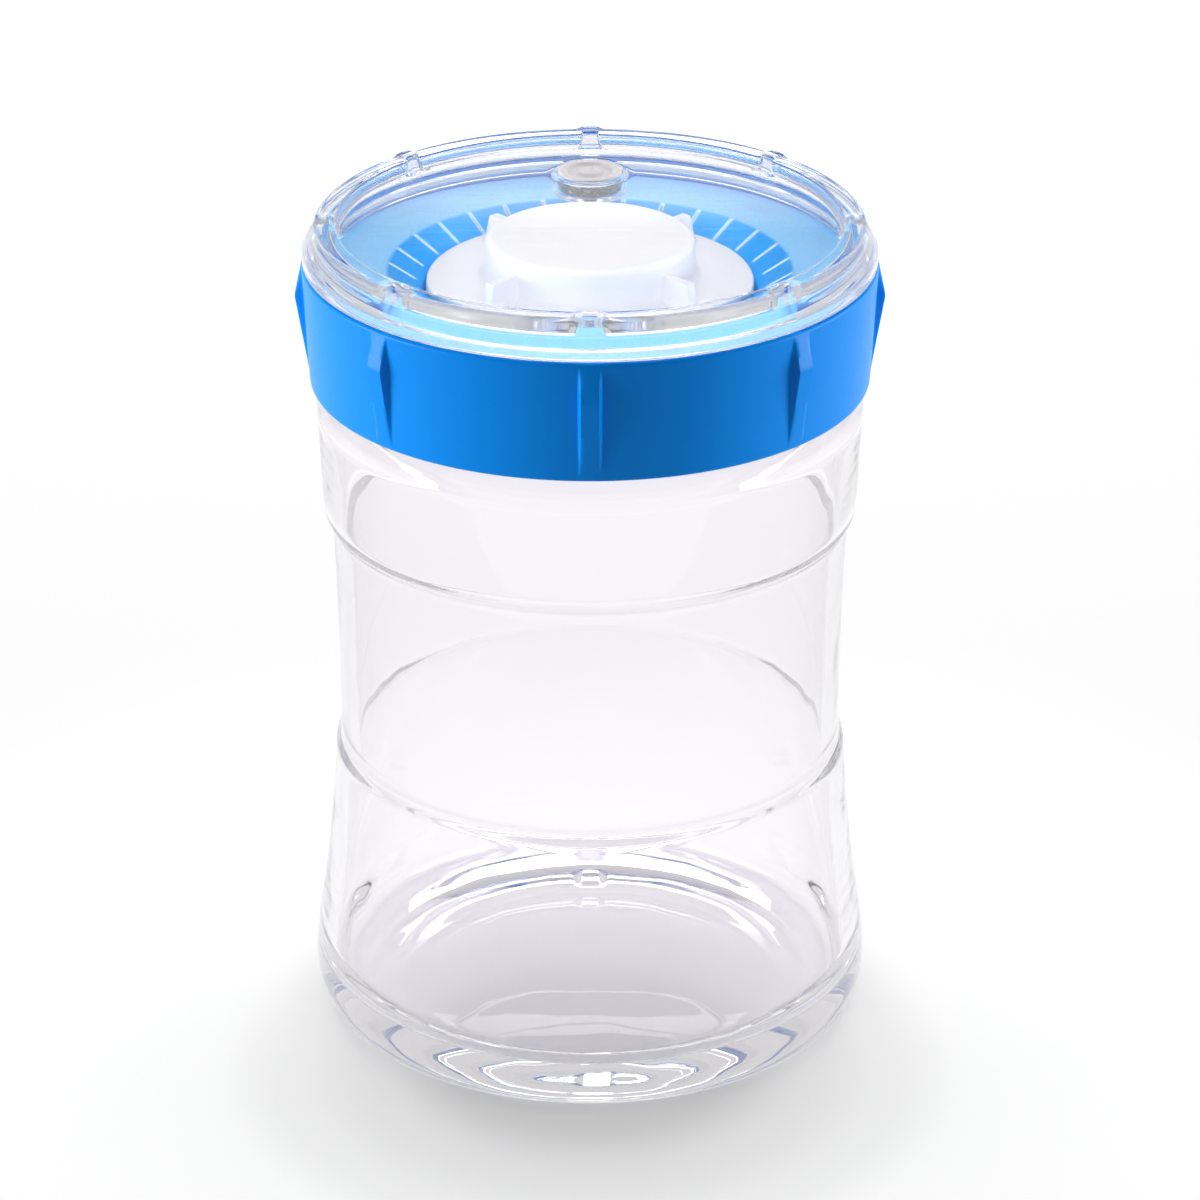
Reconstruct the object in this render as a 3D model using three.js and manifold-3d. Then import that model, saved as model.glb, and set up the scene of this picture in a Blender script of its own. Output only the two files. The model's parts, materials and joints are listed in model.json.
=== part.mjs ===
// Vegetable fermenting jar: waisted glass jar, screw ring, slotted dish, press and vented clear cover
// Millimetres, +Z up, origin at the middle of the foot, front of the jar towards -Y.
import * as THREE from 'three';
import { mergeVertices } from 'three/addons/utils/BufferGeometryUtils.js';
import Module from 'manifold-3d';

const wasm = await Module();
wasm.setup();

// Roundness of the turned pieces
const ROUND_SEGMENTS = 40;
const SMALL_SEGMENTS = 20;
const HOLE_SEGMENTS = 8;
const ARC_POINTS = 4;

// Clearances
const SEAT_GAP = 0.1;
const RUNNING_GAP = 0.3;
const THREAD_GAP = 0.6;
const CUT_MARGIN = 1;

// Glass jar, outside
const JAR_HEIGHT = 168.2;
const FOOT_RADIUS = 58;
const FOOT_WIDTH = 5.6;
const PUSH_UP = 3.6;
const HEEL_RADIUS = 62.7;
const HEEL_ROUND = 9;
const HEEL_HEIGHT = 12;
const FLARE_BEND_RADIUS = 58.9;
const FLARE_BEND_HEIGHT = 38.5;
const LOWER_STEP_RADIUS = 57.2;
const LOWER_STEP_HEIGHT = 63;
const PANEL_RADIUS = 56;
const PANEL_TOP_RADIUS = 57;
const UPPER_STEP_RADIUS = 58.8;
const UPPER_STEP_HEIGHT = 117.6;
const STEP_RISE = 2.4;
const SHOULDER_OVERHANG = 4.6;
const SHOULDER_ROUND = 6;
const SHOULDER_GAP = 0.8;
const NECK_RADIUS = 55.6;
const RIM_CHAMFER = 0.8;

// Glass jar, inside
const WALL = 3.6;
const NECK_WALL = 4.2;
const BASE_THICKNESS = 5;
const FLOOR_ROUND_WIDTH = 7;
const FLOOR_ROUND_HEIGHT = 9;

// Index notch under the back of the foot
const NOTCH_WIDTH = 7;
const NOTCH_DEPTH = 1.4;
const NOTCH_LENGTH = 14;

// Four-start thread: ridges on the glass neck, lugs in the ring
const THREAD_STARTS = 4;
const THREAD_LEAD = 24;
const RIDGE_DEPTH = 2.2;
const RIDGE_HALF_HEIGHT = 1.1;
const RIDGE_TIP_HALF = 0.35;
const RIDGE_START = 45;
const RIDGE_SWEEP = 75;
const RIDGE_DROP = 10.7;
const RIDGE_STEPS = 9;
const LUG_SWEEP = 24;
const LUG_LEAD_IN = 14;
const LUG_STEPS = 4;

// Gasket on the glass rim
const GASKET_WIDTH = 4.8;
const GASKET_THICKNESS = 1.6;

// Screw ring
const RING_HEIGHT = 27;
const RING_WALL = 2.8;
const RING_FLARE = 1.4;
const RING_EDGE = 0.8;
const LIP_THICKNESS = 1.8;
const LIP_OVERHANG = 0.8;
const UPSTAND_HEIGHT = 5.3;
const UPSTAND_WALL = 2.8;

// Grip ribs on the ring and lugs on the cover rim share their places
const GRIP_COUNT = 8;
const RIB_WIDTH = 4.4;
const RIB_HEIGHT = 2;
const RIB_KINK_DROP = 8.3;
const RIB_ROOT = 1.5;

// Slotted dish
const DECK_THICKNESS = 1.3;
const CONE_RUN = 7.9;
const DISH_DEPTH = 4.8;
const COLLAR_WALL = 1.6;
const COLLAR_LIP = 1.6;
const SLOT_COUNT = 30;
const SLOT_START = 8;
const SLOT_WIDTH = 0.45;
const SLOT_MARGIN = 0.6;

// Press bell
const BRIM_RADIUS = 35.6;
const BRIM_THICKNESS = 4.2;
const BRIM_PROUD = 2.6;
const BRIM_CLEARANCE = 0.5;
const BELL_WALL = 1.8;
const TIER_RISE = 0.8;
const CROWN_RADIUS = 23;
const CROWN_TAPER = 0.3;
const CROWN_ROUND = 1.7;
const CROWN_GAP = 0.5;
const FIN_COUNT = 4;
const FIN_THICKNESS = 3;
const FIN_REACH = 8;
const FIN_DROP = 3;
const SKIRT_INSET = 1.2;
const PRESS_STROKE = 16;
const SKIRT_OVERRUN = 2.3;

// Wiper under the brim
const WIPER_HEIGHT = 1.6;
const WIPER_GROOVE = 0.7;

// Perforated plate under the skirt
const PLATE_THICKNESS = 1.8;
const PLATE_RING_HEIGHT = 3;
const PLATE_RING_WALL = 1.4;
const PLATE_HOLE_RADIUS = 2.4;
const PLATE_HOLE_RINGS = 2;
const PLATE_HOLES_PER_RING = 6;
const PLATE_MARGIN = 8.9;

// Clear cover
const COVER_WALL_HEIGHT = 3;
const COVER_WALL = 1.9;
const COVER_INSET = 0.2;
const COVER_SEAT_GAP = 0.2;
const RIM_RISE = 5.5;
const RIM_WIDTH = 7.6;
const RIM_CREST = 4.6;
const DISC_RECESS = 2.8;
const DISC_THICKNESS = 2;
const SPIGOT_WALL = 2.8;
const SPIGOT_DEPTH = 2.7;
const SPIGOT_GAP = 0.6;
const RIM_LUG_WIDTH = 5;
const RIM_LUG_RISE = 0.4;
const RIM_LUG_SETBACK = 0.6;

// O-ring in the spigot
const SEAL_HEIGHT = 1.4;
const SEAL_DEPTH = 1.5;
const SEAL_PROUD = 0.3;
const SEAL_LIFT = 0.7;

// Valve cup and plug
const VALVE_MARGIN = 8.8;
const CUP_RADIUS = 7.5;
const CUP_WALL = 0.8;
const CUP_DEPTH = 5.6;
const CUP_FLOOR = 0.8;
const VENT_RADIUS = 1.6;
const PLUG_CLEARANCE = 0.35;
const PLUG_PROUD = 0.2;
const PLUG_LIP = 1.6;
const PLUG_DISH = 0.9;
const PLUG_NUB_RADIUS = 2;
const PLUG_NIPPLE_LENGTH = 0.8;

// Heights above the glass rim, where the lid's own origin lies
const gasketTop = SEAT_GAP + GASKET_THICKNESS;
const lipBottom = gasketTop + RUNNING_GAP;
const lipTop = lipBottom + LIP_THICKNESS;
const ringTop = lipTop + UPSTAND_HEIGHT;
const ringBottom = ringTop - RING_HEIGHT;
const deckBottom = lipTop + SEAT_GAP;
const deckTop = deckBottom + DECK_THICKNESS;
const collarTop = deckTop - DISH_DEPTH;
const brimTop = collarTop + BRIM_PROUD;
const coverSeat = ringTop + COVER_SEAT_GAP;

// Heights on the glass, above the foot
const shoulderTop = JAR_HEIGHT + ringBottom - SHOULDER_GAP;
const ridgeHeight = JAR_HEIGHT - RIDGE_DROP;

// Heights on the cover, above its seat on the ring
const rimTop = COVER_WALL_HEIGHT + RIM_RISE;
const discTop = rimTop - DISC_RECESS;
const discBottom = discTop - DISC_THICKNESS;
const cupFloorTop = discTop - CUP_DEPTH;

// Heights on the press, above the top of its brim
const crownTop = coverSeat + discBottom - CROWN_GAP - brimTop;
const wiperTop = -BRIM_THICKNESS - SEAT_GAP;
const wiperBottom = wiperTop - WIPER_HEIGHT;
const collarLipTop = wiperBottom - PRESS_STROKE - SEAT_GAP;
const skirtBottom = collarLipTop - COLLAR_LIP - SKIRT_OVERRUN;

// Radii that fit into each other
const mouthRadius = NECK_RADIUS - NECK_WALL;
const threadBore = NECK_RADIUS + RIDGE_DEPTH + THREAD_GAP;
const shoulderRadius = NECK_RADIUS + SHOULDER_OVERHANG;
const ringRadius = threadBore + RING_WALL;
const ringTopRadius = ringRadius + RING_FLARE;
const upstandBore = ringTopRadius - UPSTAND_WALL;
const deckRadius = upstandBore - SPIGOT_GAP;
const collarBore = BRIM_RADIUS + BRIM_CLEARANCE;
const collarRadius = collarBore + COLLAR_WALL;
const coneRadius = collarBore + CONE_RUN;
const skirtRadius = BRIM_RADIUS - SKIRT_INSET;
const spigotRadius = upstandBore - SPIGOT_GAP;
const coverRadius = ringTopRadius - COVER_INSET;
const rimInnerRadius = coverRadius - RIM_WIDTH;
const plugRadius = CUP_RADIUS - PLUG_CLEARANCE;
const valveOffset = rimInnerRadius - VALVE_MARGIN - CUP_RADIUS;

const radians = THREE.MathUtils.degToRad;
const point = (radius, height) => new THREE.Vector2(radius, height);

// Finishes
const glass = new THREE.MeshStandardMaterial({
  color: 0xeef4f5, roughness: 0.03, metalness: 0, transparent: true, opacity: 0.3,
});
const bluePlastic = new THREE.MeshStandardMaterial({ color: 0x0a72d2, roughness: 0.38, metalness: 0 });
const clearPlastic = new THREE.MeshStandardMaterial({
  color: 0xf2f6fa, roughness: 0.05, metalness: 0, transparent: true, opacity: 0.35,
});
const whitePlastic = new THREE.MeshStandardMaterial({ color: 0xf6f5f8, roughness: 0.45, metalness: 0 });
const greySilicone = new THREE.MeshStandardMaterial({ color: 0x77737a, roughness: 0.6, metalness: 0 });
const paleSilicone = new THREE.MeshStandardMaterial({ color: 0xe4e6e6, roughness: 0.6, metalness: 0 });

// Closed solid of a three.js geometry, with shared corners merged and flat slivers at the poles left out
function toSolid(geometry) {
  const bare = geometry.clone();
  bare.deleteAttribute('normal');
  bare.deleteAttribute('uv');
  const merged = mergeVertices(bare);
  const corners = merged.index.array;
  const triangles = [];
  for (let i = 0; i < corners.length; i += 3) {
    const [a, b, c] = corners.slice(i, i + 3);
    if (a !== b && b !== c && c !== a) triangles.push(a, b, c);
  }
  return new wasm.Manifold(new wasm.Mesh({
    numProp: 3,
    vertProperties: Float32Array.from(merged.attributes.position.array),
    triVerts: Uint32Array.from(triangles),
  }));
}

function toMesh(name, solid, material) {
  const { vertProperties, triVerts } = solid.getMesh();
  const geometry = new THREE.BufferGeometry();
  geometry.setAttribute('position', new THREE.BufferAttribute(vertProperties, 3));
  geometry.setIndex(new THREE.BufferAttribute(triVerts, 1));
  geometry.computeVertexNormals();
  const mesh = new THREE.Mesh(geometry, material);
  mesh.name = name;
  return mesh;
}

// Solid turned about +Z from an outline of radius and height, which goes up on its outer side
function turned(outline, segments = ROUND_SEGMENTS) {
  const geometry = new THREE.LatheGeometry(outline, segments);
  geometry.rotateX(Math.PI / 2);
  return toSolid(geometry);
}

// Ring turned from an outline that stays off the axis
function turnedRing(outline) {
  return turned([...outline, outline[0].clone()]);
}

function rod(radius, bottom, top, segments) {
  const geometry = new THREE.CylinderGeometry(radius, radius, top - bottom, segments);
  geometry.rotateX(Math.PI / 2);
  geometry.translate(0, 0, (bottom + top) / 2);
  return geometry;
}

// Upright blade of even thickness: its outline is given in radius and height, and it stands along +X
function blade(outline, thickness) {
  const shape = new THREE.Shape(outline);
  const geometry = new THREE.ExtrudeGeometry(shape, { depth: thickness, bevelEnabled: false });
  geometry.rotateX(Math.PI / 2);
  geometry.translate(0, thickness / 2, 0);
  return geometry;
}

// Copies of one geometry at even angles about +Z, the first one at startAngle
function around(geometry, count, startAngle) {
  return Array.from({ length: count }, (_, i) => {
    const copy = geometry.clone();
    copy.rotateZ(startAngle + (2 * Math.PI * i) / count);
    return toSolid(copy);
  });
}

const joined = (solid, others) => others.reduce((sum, other) => sum.add(other), solid);
const cutBy = (solid, others) => others.reduce((rest, other) => rest.subtract(other), solid);

class Helix extends THREE.Curve {
  constructor(radius, startAngle, sweep, startHeight) {
    super();
    Object.assign(this, { radius, startAngle, sweep, startHeight });
  }

  getPoint(t, target = new THREE.Vector3()) {
    const turn = this.sweep * t;
    const angle = this.startAngle + turn;
    const height = this.startHeight + (THREAD_LEAD * turn) / (2 * Math.PI);
    return target.set(this.radius * Math.cos(angle), this.radius * Math.sin(angle), height);
  }
}

// One stretch of thread: a six-sided bead, half sunk in the wall that it stands on
function threadBead(radius, startAngle, sweep, startHeight, steps) {
  const section = new THREE.Shape([
    point(RIDGE_HALF_HEIGHT, 0),
    point(RIDGE_TIP_HALF, RIDGE_DEPTH),
    point(-RIDGE_TIP_HALF, RIDGE_DEPTH),
    point(-RIDGE_HALF_HEIGHT, 0),
    point(-RIDGE_TIP_HALF, -RIDGE_DEPTH),
    point(RIDGE_TIP_HALF, -RIDGE_DEPTH),
  ]);
  const extrudePath = new Helix(radius, startAngle, sweep, startHeight);
  return new THREE.ExtrudeGeometry(section, { steps, extrudePath, bevelEnabled: false });
}

// Ridges start between the axes, so that each bead's section keeps upright along its path
const ridgeAngle = radians(RIDGE_START);
const lugAngle = radians(LUG_LEAD_IN);
const lugDrop = RIDGE_HALF_HEIGHT + RIDGE_TIP_HALF + RUNNING_GAP;
const lugHeight = -RIDGE_DROP + (THREAD_LEAD * lugAngle) / (2 * Math.PI) - lugDrop;

// Side of the jar from heel to shoulder, drawn upwards, moved in by the given wall
function jarSide(inset) {
  const r = (radius) => radius - inset;
  const side = new THREE.Path();
  side.moveTo(r(HEEL_RADIUS), HEEL_HEIGHT);
  side.quadraticCurveTo(r(FLARE_BEND_RADIUS), FLARE_BEND_HEIGHT, r(LOWER_STEP_RADIUS), LOWER_STEP_HEIGHT);
  side.lineTo(r(PANEL_RADIUS), LOWER_STEP_HEIGHT + STEP_RISE);
  side.quadraticCurveTo(
    r(PANEL_RADIUS), (LOWER_STEP_HEIGHT + UPPER_STEP_HEIGHT) / 2, r(PANEL_TOP_RADIUS), UPPER_STEP_HEIGHT,
  );
  side.lineTo(r(UPPER_STEP_RADIUS), UPPER_STEP_HEIGHT + STEP_RISE);
  side.lineTo(r(shoulderRadius), shoulderTop - SHOULDER_ROUND);
  return side.getPoints(ARC_POINTS);
}

// Quarter of an ellipse about a centre, from one angle to another in degrees
function quarter(centreRadius, centreHeight, width, height, from, to) {
  const arc = new THREE.EllipseCurve(
    centreRadius, centreHeight, width, height, radians(from), radians(to), to < from,
  );
  return arc.getPoints(ARC_POINTS);
}

function makeGlassJar() {
  const underside = new THREE.QuadraticBezierCurve(
    point(0, PUSH_UP), point(FOOT_RADIUS / 2, PUSH_UP), point(FOOT_RADIUS - FOOT_WIDTH, 0),
  );
  const floorHeight = PUSH_UP + BASE_THICKNESS;
  const floorEdge = HEEL_RADIUS - WALL - FLOOR_ROUND_WIDTH;
  const innerSide = jarSide(WALL).slice(1).reverse();
  const outline = [
    ...underside.getPoints(ARC_POINTS),
    ...quarter(FOOT_RADIUS, HEEL_ROUND, HEEL_RADIUS - FOOT_RADIUS, HEEL_ROUND, -90, 0),
    ...jarSide(0),
    ...quarter(NECK_RADIUS, shoulderTop - SHOULDER_ROUND, SHOULDER_OVERHANG, SHOULDER_ROUND, 0, 90).slice(1),
    point(NECK_RADIUS, JAR_HEIGHT - RIM_CHAMFER),
    point(NECK_RADIUS - RIM_CHAMFER, JAR_HEIGHT),
    point(mouthRadius + RIM_CHAMFER, JAR_HEIGHT),
    point(mouthRadius, JAR_HEIGHT - RIM_CHAMFER),
    point(mouthRadius, shoulderTop),
    ...innerSide,
    ...quarter(floorEdge, floorHeight + FLOOR_ROUND_HEIGHT, FLOOR_ROUND_WIDTH, FLOOR_ROUND_HEIGHT, 0, -90),
    point(0, floorHeight),
  ];
  const ridge = threadBead(NECK_RADIUS, ridgeAngle, radians(RIDGE_SWEEP), ridgeHeight, RIDGE_STEPS);
  const jar = joined(turned(outline), around(ridge, THREAD_STARTS, 0));
  const notch = new THREE.BoxGeometry(NOTCH_WIDTH, NOTCH_LENGTH, 2 * NOTCH_DEPTH);
  notch.translate(0, FOOT_RADIUS - FOOT_WIDTH + NOTCH_LENGTH / 2, 0);
  return toMesh('glass_jar', jar.subtract(toSolid(notch)), glass);
}

function makeGasket() {
  const outer = mouthRadius + GASKET_WIDTH;
  const ring = turnedRing([
    point(mouthRadius, SEAT_GAP),
    point(outer, SEAT_GAP),
    point(outer, gasketTop),
    point(mouthRadius, gasketTop),
  ]);
  return toMesh('jar_gasket', ring, paleSilicone);
}

function makeScrewRing() {
  const lipRadius = mouthRadius - LIP_OVERHANG;
  const body = turnedRing([
    point(threadBore, ringBottom),
    point(ringRadius - RING_EDGE, ringBottom),
    point(ringRadius, ringBottom + RING_EDGE),
    point(ringTopRadius, ringTop - RING_EDGE),
    point(ringTopRadius - RING_EDGE, ringTop),
    point(upstandBore, ringTop),
    point(upstandBore, lipTop),
    point(lipRadius, lipTop),
    point(lipRadius, lipBottom),
    point(threadBore, lipBottom),
  ]);
  const kinkHeight = ringTop - RIB_KINK_DROP;
  const kinkShare = (kinkHeight - ringBottom) / RING_HEIGHT;
  const kinkRadius = ringRadius + RING_FLARE * kinkShare + RIB_HEIGHT;
  const rib = blade([
    point(ringRadius - RIB_ROOT, ringBottom + RING_EDGE),
    point(ringRadius, ringBottom + RING_EDGE),
    point(kinkRadius, kinkHeight),
    point(ringTopRadius, ringTop - RING_EDGE),
    point(ringRadius - RIB_ROOT, ringTop - RING_EDGE),
  ], RIB_WIDTH);
  const lug = threadBead(threadBore, ridgeAngle + lugAngle, radians(LUG_SWEEP), lugHeight, LUG_STEPS);
  const ribs = around(rib, GRIP_COUNT, 0);
  const lugs = around(lug, THREAD_STARTS, 0);
  return toMesh('screw_ring', joined(body, [...ribs, ...lugs]), bluePlastic);
}

// Deck, slotted cone and the collar that guides the press, with a lip that stops it
function makeStrainer() {
  const lipTopHeight = brimTop + collarLipTop;
  const lipRadius = skirtRadius + BRIM_CLEARANCE;
  const body = turnedRing([
    point(lipRadius, lipTopHeight - COLLAR_LIP),
    point(collarRadius, lipTopHeight - COLLAR_LIP),
    point(collarRadius, collarTop - DECK_THICKNESS),
    point(coneRadius, deckBottom),
    point(deckRadius, deckBottom),
    point(deckRadius, deckTop),
    point(coneRadius, deckTop),
    point(collarBore, collarTop),
    point(collarBore, lipTopHeight),
    point(lipRadius, lipTopHeight),
  ]);
  const slotLength = CONE_RUN - COLLAR_WALL - 2 * SLOT_MARGIN;
  const slot = new THREE.BoxGeometry(slotLength, SLOT_WIDTH, DISH_DEPTH + 2 * DECK_THICKNESS);
  slot.translate((collarRadius + coneRadius) / 2, 0, (collarTop + deckBottom) / 2);
  const slots = around(slot, SLOT_COUNT, radians(SLOT_START));
  return toMesh('strainer', cutBy(body, slots), bluePlastic);
}

function makeCover() {
  const channelRadius = coverRadius - COVER_WALL;
  const channelTop = COVER_WALL_HEIGHT - COVER_WALL / 2;
  const spigotBottom = -SPIGOT_DEPTH;
  const grooveBottom = spigotBottom + SEAL_LIFT;
  const grooveTop = grooveBottom + SEAL_HEIGHT + 2 * SEAT_GAP;
  const grooveRadius = spigotRadius - SEAL_DEPTH;
  const spigotInner = spigotRadius - SPIGOT_WALL;
  const crestRadius = rimInnerRadius + RIM_CREST;
  const body = turned([
    point(0, discBottom),
    point(spigotInner, discBottom),
    point(spigotInner, spigotBottom),
    point(spigotRadius, spigotBottom),
    point(spigotRadius, grooveBottom),
    point(grooveRadius, grooveBottom),
    point(grooveRadius, grooveTop),
    point(spigotRadius, grooveTop),
    point(spigotRadius, channelTop),
    point(channelRadius, channelTop),
    point(channelRadius, 0),
    point(coverRadius, 0),
    point(coverRadius, COVER_WALL_HEIGHT),
    point(crestRadius, rimTop),
    point(rimInnerRadius, rimTop),
    point(rimInnerRadius, discTop),
    point(0, discTop),
  ]);
  const lugRadius = rimInnerRadius + RIM_LUG_SETBACK;
  const rimLug = blade([
    point(lugRadius, COVER_WALL_HEIGHT),
    point(coverRadius, COVER_WALL_HEIGHT),
    point(crestRadius, rimTop + RIM_LUG_RISE),
    point(lugRadius, rimTop + RIM_LUG_RISE),
  ], RIM_LUG_WIDTH);
  const rimLugs = around(rimLug, GRIP_COUNT, 0);
  const cup = rod(CUP_RADIUS + CUP_WALL, cupFloorTop - CUP_FLOOR, discTop, SMALL_SEGMENTS);
  const hollow = rod(CUP_RADIUS, cupFloorTop, discTop + CUT_MARGIN, SMALL_SEGMENTS);
  const ventBottom = cupFloorTop - CUP_FLOOR - CUT_MARGIN;
  const vent = rod(VENT_RADIUS, ventBottom, cupFloorTop + CUT_MARGIN, HOLE_SEGMENTS);
  const [cupSolid, hollowSolid, ventSolid] = [cup, hollow, vent].map((geometry) => {
    geometry.translate(0, valveOffset, 0);
    return toSolid(geometry);
  });
  const whole = joined(body, [...rimLugs, cupSolid]);
  return toMesh('clear_cover', cutBy(whole, [hollowSolid, ventSolid]), clearPlastic);
}

function makeCoverSeal() {
  const inner = spigotRadius - SEAL_DEPTH + SEAT_GAP;
  const outer = spigotRadius + SEAL_PROUD;
  const bottom = -SPIGOT_DEPTH + SEAL_LIFT + SEAT_GAP;
  const middle = bottom + SEAL_HEIGHT / 2;
  const top = bottom + SEAL_HEIGHT;
  const waist = (inner + outer) / 2;
  const ring = turnedRing([
    point(inner, bottom),
    point(waist, bottom),
    point(outer, middle),
    point(waist, top),
    point(inner, top),
  ]);
  return toMesh('cover_seal', ring, paleSilicone);
}

// Soft plug with a raised edge, a centre nub to pinch and a nipple that finds the vent hole
function makeValvePlug() {
  const plugTop = CUP_DEPTH + PLUG_PROUD;
  const nippleRadius = VENT_RADIUS - PLUG_CLEARANCE;
  const plug = turned([
    point(0, -PLUG_NIPPLE_LENGTH),
    point(nippleRadius, -PLUG_NIPPLE_LENGTH),
    point(nippleRadius, RUNNING_GAP),
    point(plugRadius, RUNNING_GAP),
    point(plugRadius, plugTop),
    point(plugRadius - PLUG_LIP, plugTop),
    point(plugRadius - PLUG_LIP - PLUG_DISH, plugTop - PLUG_DISH),
    point(PLUG_NUB_RADIUS + PLUG_DISH, plugTop - PLUG_DISH),
    point(PLUG_NUB_RADIUS, plugTop),
    point(0, plugTop),
  ], SMALL_SEGMENTS);
  return toMesh('valve_plug', plug, greySilicone);
}

// Stepped bell: brim, low tier and upright crown with a round edge, hollow inside, over a long guiding skirt
function makeBell() {
  const crownFoot = TIER_RISE;
  const crownEdge = crownTop - CROWN_ROUND;
  const crownEdgeRadius = CROWN_RADIUS - CROWN_TAPER;
  const grooveRadius = skirtRadius - WIPER_GROOVE;
  const skirtInner = skirtRadius - BELL_WALL;
  const body = turned([
    point(0, crownTop - BELL_WALL),
    point(crownEdgeRadius - BELL_WALL, crownTop - BELL_WALL),
    point(CROWN_RADIUS - BELL_WALL, crownFoot - BELL_WALL),
    point(skirtInner, -BELL_WALL),
    point(skirtInner, skirtBottom),
    point(skirtRadius, skirtBottom),
    point(skirtRadius, wiperBottom - SEAT_GAP),
    point(grooveRadius, wiperBottom - SEAT_GAP),
    point(grooveRadius, -BRIM_THICKNESS),
    point(BRIM_RADIUS, -BRIM_THICKNESS),
    point(BRIM_RADIUS, 0),
    point(CROWN_RADIUS, crownFoot),
    ...quarter(crownEdgeRadius - CROWN_ROUND, crownEdge, CROWN_ROUND, CROWN_ROUND, 0, 90),
    point(0, crownTop),
  ]);
  const finRoot = crownEdgeRadius - BELL_WALL / 2;
  const finEnd = CROWN_RADIUS + FIN_REACH;
  const finFoot = (crownFoot * (BRIM_RADIUS - finEnd)) / (BRIM_RADIUS - CROWN_RADIUS);
  const fin = blade([
    point(finRoot, crownFoot - BELL_WALL / 2),
    point(finEnd, finFoot - BELL_WALL / 2),
    point(finEnd, crownTop - FIN_DROP),
    point(finRoot, crownTop - FIN_DROP),
  ], FIN_THICKNESS);
  return toMesh('press_bell', joined(body, around(fin, FIN_COUNT, Math.PI / FIN_COUNT)), whitePlastic);
}

function makeWiper() {
  const inner = skirtRadius - WIPER_GROOVE + SEAT_GAP;
  const outer = collarBore - RUNNING_GAP;
  const ring = turnedRing([
    point(inner, wiperBottom),
    point(outer, wiperBottom),
    point(outer, wiperTop),
    point(inner, wiperTop),
  ]);
  return toMesh('press_wiper', ring, paleSilicone);
}

// Plate with a ring that plugs into the skirt, drilled so that brine comes through
function makePlate() {
  const top = skirtBottom - SEAT_GAP;
  const bottom = top - PLATE_THICKNESS;
  const ringOuter = skirtRadius - BELL_WALL - RUNNING_GAP;
  const ringInner = ringOuter - PLATE_RING_WALL;
  const body = turned([
    point(0, bottom),
    point(skirtRadius, bottom),
    point(skirtRadius, top),
    point(ringOuter, top),
    point(ringOuter, top + PLATE_RING_HEIGHT),
    point(ringInner, top + PLATE_RING_HEIGHT),
    point(ringInner, top),
    point(0, top),
  ]);
  const holePitch = (ringInner - PLATE_MARGIN) / PLATE_HOLE_RINGS;
  const holes = Array.from({ length: PLATE_HOLE_RINGS + 1 }, (_, ring) => {
    const hole = rod(PLATE_HOLE_RADIUS, bottom - CUT_MARGIN, top + CUT_MARGIN, HOLE_SEGMENTS);
    hole.translate(ring * holePitch, 0, 0);
    return around(hole, Math.max(1, ring * PLATE_HOLES_PER_RING), 0);
  }).flat();
  return toMesh('press_plate', cutBy(body, holes), whitePlastic);
}

const press = new THREE.Group();
press.position.z = brimTop;
press.add(makeBell(), makeWiper(), makePlate());

const valve = makeValvePlug();
valve.position.set(0, valveOffset, cupFloorTop);

const cover = new THREE.Group();
cover.position.z = coverSeat;
cover.add(makeCover(), makeCoverSeal(), valve);

const lid = new THREE.Group();
lid.position.z = JAR_HEIGHT;
lid.add(makeGasket(), makeScrewRing(), makeStrainer(), cover, press);

const fermentingJar = new THREE.Group();
fermentingJar.add(makeGlassJar(), lid);

export default fermentingJar;
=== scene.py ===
# %% [markdown]
# # A vegetable fermenting jar, dressed over its CAD frame
#
# The jar is a waisted glass vessel. A blue screw ring clamps a slotted dish on its mouth, a white press
# slides in the middle of the dish, and a clear cover with a small valve closes the top. The CAD solids
# have the right size and place but flat facets. Here each solid is drawn again as a smooth surface with
# soft edges, in the same place, and gets the finish of the real material.

# %% Load the frame
import json
import math

import bmesh
import bpy
import numpy as np
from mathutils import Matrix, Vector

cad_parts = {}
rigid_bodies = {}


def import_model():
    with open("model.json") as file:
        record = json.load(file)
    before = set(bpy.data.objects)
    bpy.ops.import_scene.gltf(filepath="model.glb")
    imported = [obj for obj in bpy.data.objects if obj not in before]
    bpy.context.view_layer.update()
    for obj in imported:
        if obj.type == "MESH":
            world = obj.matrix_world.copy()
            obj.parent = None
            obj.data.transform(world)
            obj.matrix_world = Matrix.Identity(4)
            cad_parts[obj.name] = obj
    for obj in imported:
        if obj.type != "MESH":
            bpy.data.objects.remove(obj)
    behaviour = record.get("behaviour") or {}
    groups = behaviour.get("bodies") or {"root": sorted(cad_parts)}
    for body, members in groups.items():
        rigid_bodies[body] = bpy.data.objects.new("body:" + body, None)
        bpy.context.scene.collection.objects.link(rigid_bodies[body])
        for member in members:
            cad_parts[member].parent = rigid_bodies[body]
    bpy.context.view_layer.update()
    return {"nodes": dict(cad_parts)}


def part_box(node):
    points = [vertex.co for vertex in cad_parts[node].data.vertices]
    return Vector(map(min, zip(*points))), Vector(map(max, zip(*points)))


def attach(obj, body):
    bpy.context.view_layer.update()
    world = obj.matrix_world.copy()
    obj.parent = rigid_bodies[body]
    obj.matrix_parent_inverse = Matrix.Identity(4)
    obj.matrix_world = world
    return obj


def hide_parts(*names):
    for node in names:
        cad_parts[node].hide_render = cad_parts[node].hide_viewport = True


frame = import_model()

print("CAD nodes:", ", ".join(sorted(frame["nodes"])))

# %% [markdown]
# ## Sizes from the frame
#
# Everything below except the floor is written in millimetres, as on a drawing, and is turned into metres
# where an object is made. Heights and reaches are read from the CAD nodes, so a piece can't drift away from
# the solid that it covers.

# %% Read sizes from the frame
MM = 0.001


def heights(node):
    """Lowest and highest point of a CAD node, in millimetres."""
    low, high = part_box(node)
    return low.z / MM, high.z / MM


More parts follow.
